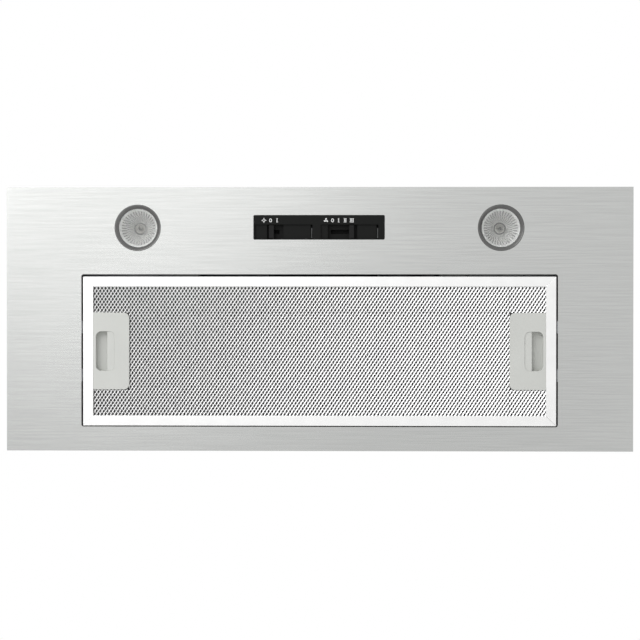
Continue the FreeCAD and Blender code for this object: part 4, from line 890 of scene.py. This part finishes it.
def lathe(points, centre, name, steps=64):
    """A turned piece: an outline of (radius, height) pairs extruded point by point and spun."""
    clear_selection()
    bpy.ops.mesh.primitive_plane_add(size=0.001)
    piece = named(name)
    edit_all()
    bpy.ops.mesh.merge(type="CENTER")
    first = points[0]
    bpy.ops.transform.translate(value=(first[0], 0.0, first[1]))
    for before, after in zip(points, points[1:]):
        bpy.ops.mesh.extrude_vertices_move(
            TRANSFORM_OT_translate={"value": (after[0] - before[0], 0.0, after[1] - before[1])})
    bpy.ops.mesh.select_all(action="SELECT")
    bpy.ops.mesh.spin(steps=steps, angle=2 * math.pi, center=(0.0, 0.0, 0.0), axis=(0.0, 0.0, 1.0))
    bpy.ops.object.mode_set(mode="OBJECT")
    outward(piece)
    piece.location = (centre.x, centre.y, 0.0)
    return piece


class INSERT_OT_lamps(bpy.types.Operator):
    """Makes the fluted reflectors, the cover glasses and the capsules with their filaments"""

    bl_idname = "insert.lamps"
    bl_label = "Lamps"

    def execute(self, context):
        sizes = context.scene.insert_sizes
        glass_low, glass_high = low_high("lamp_glasses")
        bowl_low, bowl_high = low_high("lamp_reflectors")
        bulb_low, bulb_high = low_high("lamp_capsules")
        socket_low = low_high("lamp_sockets")[0]
        glass_radius = (glass_high.y - glass_low.y) / 2
        mouth = (bowl_high.y - bowl_low.y) / 2
        bulb_radius = (bulb_high.y - bulb_low.y) / 2
        bowls, glasses, bulbs, threads = [], [], [], []
        for side in ("left", "right"):
            centre = lamp_centre(side)
            bowls.append(fluted_bowl(sizes, centre, mouth - 0.0004, NECK_RADIUS, bowl_low.z + 0.0002,
                                     bowl_high.z - 0.0002, "reflector_" + side))
            clear_selection()
            bpy.ops.mesh.primitive_torus_add(location=(centre.x, centre.y, bowl_high.z - 0.004),
                                             major_segments=48, minor_segments=12,
                                             major_radius=NECK_RING, minor_radius=0.0007)
            bowls.append(smooth(named("neck_ring_" + side)))
            clear_selection()
            bpy.ops.mesh.primitive_uv_sphere_add(location=(centre.x, centre.y, bulb_low.z + 0.0005),
                                                 segments=24, ring_count=12, radius=CAP_RADIUS)
            bowls.append(smooth(named("capsule_cap_" + side)))
            z0, z1 = glass_low.z, glass_high.z
            rim = GLASS_EDGE
            outline = [(0.0, z0), (glass_radius - rim, z0), (glass_radius, z0 + rim),
                       (glass_radius, z1 - rim), (glass_radius - rim, z1), (0.0, z1)]
            glasses.append(smooth(lathe(outline, centre, "glass_" + side)))
            tip, foot = bulb_low.z, socket_low.z
            waist = bulb_radius * 0.72
            outline = [(0.0, tip), (waist * 0.45, tip + 0.0001), (waist, tip + 0.0016),
                       (bulb_radius, tip + 0.0036), (bulb_radius, foot - 0.0035),
                       (waist, foot - 0.0014), (waist, foot), (0.0, foot)]
            bulbs.append(smooth(lathe(outline, centre, "bulb_" + side, 40), 50.0))
            middle = Vector((centre.x, centre.y, (tip + foot) / 2))
            threads.append(coil("filament_" + side, 0.0009, 0.00013, 6, 0.0006, middle))
        settle(joined(bowls, "fluted_reflectors"), "housing", "reflector_mirror", "lamp_reflectors")
        settle(joined(glasses, "cover_glasses"), "housing", "clear_glass", "lamp_glasses")
        settle(joined(bulbs, "halogen_capsules"), "housing", "quartz", "lamp_capsules")
        settle(joined(threads, "filaments"), "housing", "tungsten")
        for node in ("lamp_ring_left", "lamp_ring_right", "lamp_cups", "lamp_sockets"):
            dressed(node, sizes.sheet_edge)
        return {"FINISHED"}


# ---------------------------------------------------------------- control panel
# Places of the marks and of the windows' right ends, read from the photo at the plate's scale.
MARK_ROW = -0.1103
LAMP_ICON, FAN_ICON = -0.0617, 0.0077
ZEROS = (-0.0542, 0.015)
NUMERALS = ((1, -0.047), (1, 0.0218), (2, 0.0292), (3, 0.0366))
WINDOW_ENDS = (-0.0078, 0.0659)


def flat_mark(x, y, name):
    """A thin printed mark starts as a small plane seen from below."""
    clear_selection()
    bpy.ops.mesh.primitive_plane_add(size=1.0, location=(x, y, 0.0))
    return named(name)


def bar(x, y, size_x, size_y, name, turn=0.0):
    mark = flat_mark(x, y, name)
    mark.scale = (size_x, size_y, 1.0)
    mark.rotation_euler = (0.0, 0.0, turn)
    bpy.ops.object.transform_apply(location=True, rotation=True, scale=True)
    return mark


def ring_mark(x, y, radius_x, radius_y, stroke, name):
    clear_selection()
    bpy.ops.mesh.primitive_circle_add(vertices=40, radius=1.0, fill_type="NGON", location=(x, y, 0.0))
    mark = named(name)
    mark.scale = (radius_x, radius_y, 1.0)
    bpy.ops.object.transform_apply(location=True, scale=True)
    bpy.ops.object.mode_set(mode="EDIT")
    bpy.ops.mesh.select_mode(type="FACE")
    bpy.ops.mesh.select_all(action="SELECT")
    bpy.ops.mesh.inset(thickness=stroke)
    bpy.ops.mesh.delete(type="FACE")
    bpy.ops.object.mode_set(mode="OBJECT")
    return mark


def numeral(count, x, y, height):
    """A Roman numeral of so many strokes between two bars."""
    stroke = height * 0.17
    pitch = stroke * 1.9
    width = stroke * 2.2 + pitch * (count - 1)
    parts = []
    for index in range(count):
        parts.append(bar(x + (index - (count - 1) / 2) * pitch, y, stroke, height - stroke, "stroke"))
    for end in (-1, 1):
        parts.append(bar(x, y + end * (height - stroke) / 2, width, stroke * 0.8, "serif"))
    return parts


def lamp_icon(x, y, height):
    """A ring with four short rays."""
    parts = [ring_mark(x, y, height * 0.3, height * 0.3, height * 0.11, "lamp_icon")]
    for step in range(4):
        angle = math.pi * step / 2
        reach = height * 0.42
        parts.append(bar(x + reach * math.cos(angle), y + reach * math.sin(angle),
                         height * 0.2, height * 0.12, "ray", angle))
    return parts


def fan_icon(x, y, height):
    """Three round blades about a hub."""
    parts = []
    for step in range(3):
        angle = 2 * math.pi * step / 3 - math.pi / 2
        reach = height * 0.27
        clear_selection()
        bpy.ops.mesh.primitive_circle_add(vertices=20, radius=1.0, fill_type="NGON")
        blade = named("blade")
        blade.scale = (height * 0.24, height * 0.15, 1.0)
        blade.rotation_euler = (0.0, 0.0, angle + 0.5)
        blade.location = (x + reach * math.cos(angle), y + reach * math.sin(angle), 0.0)
        bpy.ops.object.transform_apply(location=True, rotation=True, scale=True)
        parts.append(blade)
    return parts


def window_facet(end):
    """The polished slope that closes a window's right end."""
    clear_selection()
    bpy.ops.mesh.primitive_plane_add(size=1.0, location=(end - 0.0011, -0.0962, 0.0045))
    facet = named("window_facet")
    facet.scale = (0.0062, 0.0112, 1.0)
    facet.rotation_euler = (0.0, math.radians(72.0), 0.0)
    bpy.ops.object.transform_apply(location=True, rotation=True, scale=True)
    modify(facet, "SOLIDIFY", thickness=0.0003, offset=0.0)
    return facet


class INSERT_OT_controls(bpy.types.Operator):
    """Rounds the control panel and its knobs and prints the marks on it"""

    bl_idname = "insert.controls"
    bl_label = "Controls"

    def execute(self, context):
        sizes = context.scene.insert_sizes
        dressed("control_bezel", sizes.control_edge)
        for node in ("light_slider", "fan_slider"):
            knob = soften_edges(copied(node, node + "_dressed"), sizes.control_edge * 1.5, 3)
            settle(knob, nodes[node]["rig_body"], "knob_plastic", node)
        facets = [window_facet(end) for end in WINDOW_ENDS]
        settle(joined(facets, "window_facets"), "housing", "facet_gloss")
        height = sizes.mark_height
        parts = lamp_icon(LAMP_ICON, MARK_ROW, height * 1.1) + fan_icon(FAN_ICON, MARK_ROW, height * 1.15)
        for x in ZEROS:
            parts.append(ring_mark(x, MARK_ROW, height * 0.34, height * 0.46, height * 0.16, "zero"))
        for count, x in NUMERALS:
            parts += numeral(count, x, MARK_ROW, height)
        marks = joined(parts, "printed_marks")
        marks.location.z = bezel_low.z - 0.00001
        modify(marks, "SOLIDIFY", thickness=0.00006, offset=0.0)
        settle(marks, "housing", "printed_marks")
        return {"FINISHED"}


# ---------------------------------------------------------------- screws and nuts
SCREW_RADIUS, SCREW_HEAD, SCREW_RECESS = 0.0038, 0.0017, 0.0009
SCREW_SEAT = 0.0022


def pan_screw(radius, height, recess, name):
    """A domed head with a cross recess, standing on z = 0 and pointing up."""
    clear_selection()
    bpy.ops.mesh.primitive_cylinder_add(vertices=28, radius=radius, depth=height,
                                        location=(0.0, 0.0, height / 2))
    head = named(name)
    bpy.ops.object.transform_apply(location=True)
    bpy.ops.object.mode_set(mode="EDIT")
    pick(head, "FACE", lambda spot: spot.z > height * 0.99)
    bpy.ops.mesh.inset(thickness=radius * 0.45)
    bpy.ops.transform.translate(value=(0.0, 0.0, height * 0.22))
    bpy.ops.object.mode_set(mode="OBJECT")
    for turn in (0.0, math.pi / 2):
        clear_selection()
        bpy.ops.mesh.primitive_cube_add(size=1.0, location=(0.0, 0.0, height * 1.1))
        cutter = named("recess_cutter")
        cutter.scale = (radius * 1.15, radius * 0.26, recess * 2)
        cutter.rotation_euler = (0.0, 0.0, turn)
        bpy.ops.object.transform_apply(location=True, rotation=True, scale=True)
        modify(head, "BOOLEAN", object=cutter, operation="DIFFERENCE", solver="EXACT")
        bpy.data.objects.remove(cutter)
    return smooth(head, 40.0)


class INSERT_OT_fixings(bpy.types.Operator):
    """Puts domed cross-recess heads on the case screws and rounds the studs' nuts"""

    bl_idname = "insert.fixings"
    bl_label = "Fixings"

    def execute(self, context):
        twins = []
        pattern = pan_screw(SCREW_RADIUS, SCREW_HEAD, SCREW_RECESS, "screw_pattern")
        for index, (low, high) in enumerate(loose_boxes("case_screws")):
            size = high - low
            middle = (low + high) / 2
            twin = duplicate(pattern, (0.0, 0.0, 0.0), "screw_%02d" % index)
            if size.x > size.z:
                side = 1 if middle.x > 0 else -1
                twin.rotation_euler = (0.0, side * math.pi / 2, 0.0)
                face = high.x - SCREW_SEAT if side > 0 else low.x + SCREW_SEAT
                twin.location = (face, middle.y, middle.z)
            else:
                twin.rotation_euler = (0.0, 0.0, index * 0.7)
                twin.location = (middle.x, middle.y, high.z - SCREW_SEAT)
            take(twin)
            bpy.ops.object.transform_apply(location=True, rotation=True, scale=True)
            twins.append(twin)
        bpy.data.objects.remove(pattern)
        settle(joined(twins, "screw_heads"), "housing", "zinc_plated", "case_screws")
        for node in ("stud_nuts", "weld_studs"):
            dressed(node, context.scene.insert_sizes.sheet_edge)
        return {"FINISHED"}


def loose_boxes(node):
    """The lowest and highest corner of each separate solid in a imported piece."""
    mesh = nodes[node].data
    shape = bmesh.new()
    shape.from_mesh(mesh)
    bmesh.ops.remove_doubles(shape, verts=shape.verts, dist=0.000002)
    shape.verts.ensure_lookup_table()
    seen, boxes = set(), []
    for start in shape.verts:
        if start.index in seen:
            continue
        seen.add(start.index)
        group, waiting = [], [start]
        while waiting:
            spot = waiting.pop()
            group.append(spot.co)
            for edge in spot.link_edges:
                far = edge.other_vert(spot)
                if far.index not in seen:
                    seen.add(far.index)
                    waiting.append(far)
        low = Vector([min(spot[axis] for spot in group) for axis in range(3)])
        high = Vector([max(spot[axis] for spot in group) for axis in range(3)])
        boxes.append((low, high))
    shape.free()
    return boxes


# ---------------------------------------------------------------- floor, background, lamps and camera
VIEW_DISTANCE = 2.2
VIEW_WIDTH = 0.71495
VIEW_AIM = Vector((0.0011, 0.001, 0.0))
VIEW_PITCH = math.radians(-0.438)
VIEW_YAW = math.radians(-1.289)
VIEW_ROLL = math.radians(-0.037)
FLOOR_DEPTH = -3.0
# name, place, size in metres, power in watts
SOFTBOXES = (
    ("key_lamp", (-1.15, -1.0, -1.7), (1.6, 1.6), 24.0),
    ("sheen_lamp", (-0.38, -0.32, -2.9), (1.15, 0.5), 1.55),
    ("fill_lamp", (1.5, 1.0, -1.9), (1.8, 1.8), 6.0),
    ("top_lamp", (-0.6, -1.2, 2.0), (1.8, 1.8), 22.0),
)
KEY_DIRECTION = (-0.62, -0.55, -0.2)
WORLD_LIGHT = 0.62


class INSERT_OT_stage(bpy.types.Operator):
    """Sets the pale floor, the background, the soft lamps and the camera"""

    bl_idname = "insert.stage"
    bl_label = "Stage"

    def execute(self, context):
        scene = context.scene
        pale = scene.insert_colours.backdrop
        self.background(scene, pale)
        self.floor(pale)
        for lamp in SOFTBOXES:
            self.softbox(*lamp)
        self.camera(scene)
        scene.view_settings.view_transform = "Standard"
        return {"FINISHED"}

    def background(self, scene, pale):
        world = bpy.data.worlds.new("background")
        scene.world = world
        world.use_nodes = True
        sky = Nodes(world.node_tree)
        output = sky.tree.nodes.new("ShaderNodeOutputWorld")
        direction = sky.add("ShaderNodeTexCoord", output="Generated")
        towards_key = sky.add("ShaderNodeVectorMath", {"operation": "DOT_PRODUCT"},
                              {0: direction, 1: KEY_DIRECTION}, "Value")
        height = sky.add("ShaderNodeSeparateXYZ", None, {"Vector": direction}, "Z")
        tone = (0.74 + towards_key * 0.3).most(height.between(0.0, 0.25)).least(1.0)
        shown = sky.seen_as_white()
        seen = sky.add("ShaderNodeBackground", None, {"Color": (*pale, 1.0), "Strength": tone})
        lighting = sky.add("ShaderNodeBackground", None, {"Color": (*pale, 1.0), "Strength": WORLD_LIGHT})
        mixed = sky.add("ShaderNodeMixShader", None, {0: shown, 1: lighting, 2: seen})
        sky.tree.links.new(mixed.socket, output.inputs["Surface"])

    def floor(self, pale):
        clear_selection()
        bpy.ops.mesh.primitive_plane_add(size=24.0, location=(0.0, 0.0, FLOOR_DEPTH))
        floor = named("floor")
        bpy.ops.object.transform_apply(location=True)
        material = bpy.data.materials.new("floor")
        material.use_nodes = True
        ground = Nodes(material.node_tree)
        output = ground.tree.nodes.new("ShaderNodeOutputMaterial")
        paint = ground.add("ShaderNodeBsdfDiffuse", None, {"Color": (0.8, 0.8, 0.8, 1.0)})
        place = ground.add("ShaderNodeTexCoord", output="Object")
        across = ground.add("ShaderNodeSeparateXYZ", None, {"Vector": place}, "Y")
        tone = 1.0 - across.between(-0.4, 0.5) * 0.14
        glow = ground.add("ShaderNodeEmission", None, {"Color": (*pale, 1.0), "Strength": tone})
        mixed = ground.add("ShaderNodeMixShader", None, {0: ground.seen_as_white() * 0.85, 1: paint, 2: glow})
        ground.tree.links.new(mixed.socket, output.inputs["Surface"])
        floor.data.materials.append(material)

    def softbox(self, name, place, size, power):
        light = bpy.data.lights.new(name, "AREA")
        light.shape = "RECTANGLE"
        light.size, light.size_y = size
        light.energy = power
        lamp = bpy.data.objects.new(name, light)
        bpy.context.scene.collection.objects.link(lamp)
        lamp.location = place
        towards = Vector((0.0, 0.0, 0.05)) - Vector(place)
        lamp.rotation_euler = towards.to_track_quat("-Z", "Y").to_euler()
        lamp.visible_camera = False

    def camera(self, scene):
        lens = bpy.data.cameras.new("camera")
        lens.sensor_fit = "HORIZONTAL"
        lens.angle = 2 * math.atan(VIEW_WIDTH / 2 / VIEW_DISTANCE)
        viewer = bpy.data.objects.new("camera", lens)
        scene.collection.objects.link(viewer)
        turn = Matrix.Rotation(VIEW_PITCH, 4, "X") @ Matrix.Rotation(VIEW_YAW, 4, "Y")
        upwards = Matrix.Rotation(VIEW_ROLL, 4, "Z") @ Matrix.Rotation(math.pi, 4, "X")
        away = Matrix.Translation((0, 0, VIEW_DISTANCE))
        viewer.matrix_world = Matrix.Translation(VIEW_AIM) @ turn @ upwards @ away
        scene.camera = viewer


# ---------------------------------------------------------------- panel and registration
OPERATORS = (INSERT_OT_finishes, INSERT_OT_sheet_metal, INSERT_OT_outlet, INSERT_OT_filter_frame,
             INSERT_OT_expanded_mesh, INSERT_OT_filter_pad, INSERT_OT_latches, INSERT_OT_lamps,
             INSERT_OT_controls, INSERT_OT_fixings, INSERT_OT_stage)


class INSERT_PT_panel(bpy.types.Panel):
    """Lists the steps and the sizes of the range hood insert"""

    bl_idname = "INSERT_PT_panel"
    bl_label = "Hood insert"
    bl_space_type = "VIEW_3D"
    bl_region_type = "UI"
    bl_category = "Hood insert"

    def draw(self, context):
        layout = self.layout
        for operator in OPERATORS:
            layout.operator(operator.bl_idname)
        for group in (context.scene.insert_sizes, context.scene.insert_colours):
            for name in group.bl_rna.properties.keys():
                if name not in ("rna_type", "name"):
                    layout.prop(group, name)


CLASSES = (InsertSizes, InsertColours) + OPERATORS + (INSERT_PT_panel,)


def register():
    for item in CLASSES:
        bpy.utils.register_class(item)
    bpy.types.Scene.insert_sizes = PointerProperty(type=InsertSizes)
    bpy.types.Scene.insert_colours = PointerProperty(type=InsertColours)


def unregister():
    del bpy.types.Scene.insert_colours
    del bpy.types.Scene.insert_sizes
    for item in reversed(CLASSES):
        bpy.utils.unregister_class(item)


def plain(corners):
    return [[float(value) for value in corner] for corner in corners]


def main():
    register()
    for operator in OPERATORS:
        group, name = operator.bl_idname.split(".")
        getattr(getattr(bpy.ops, group), name)()


if __name__ == "__main__":
    main()
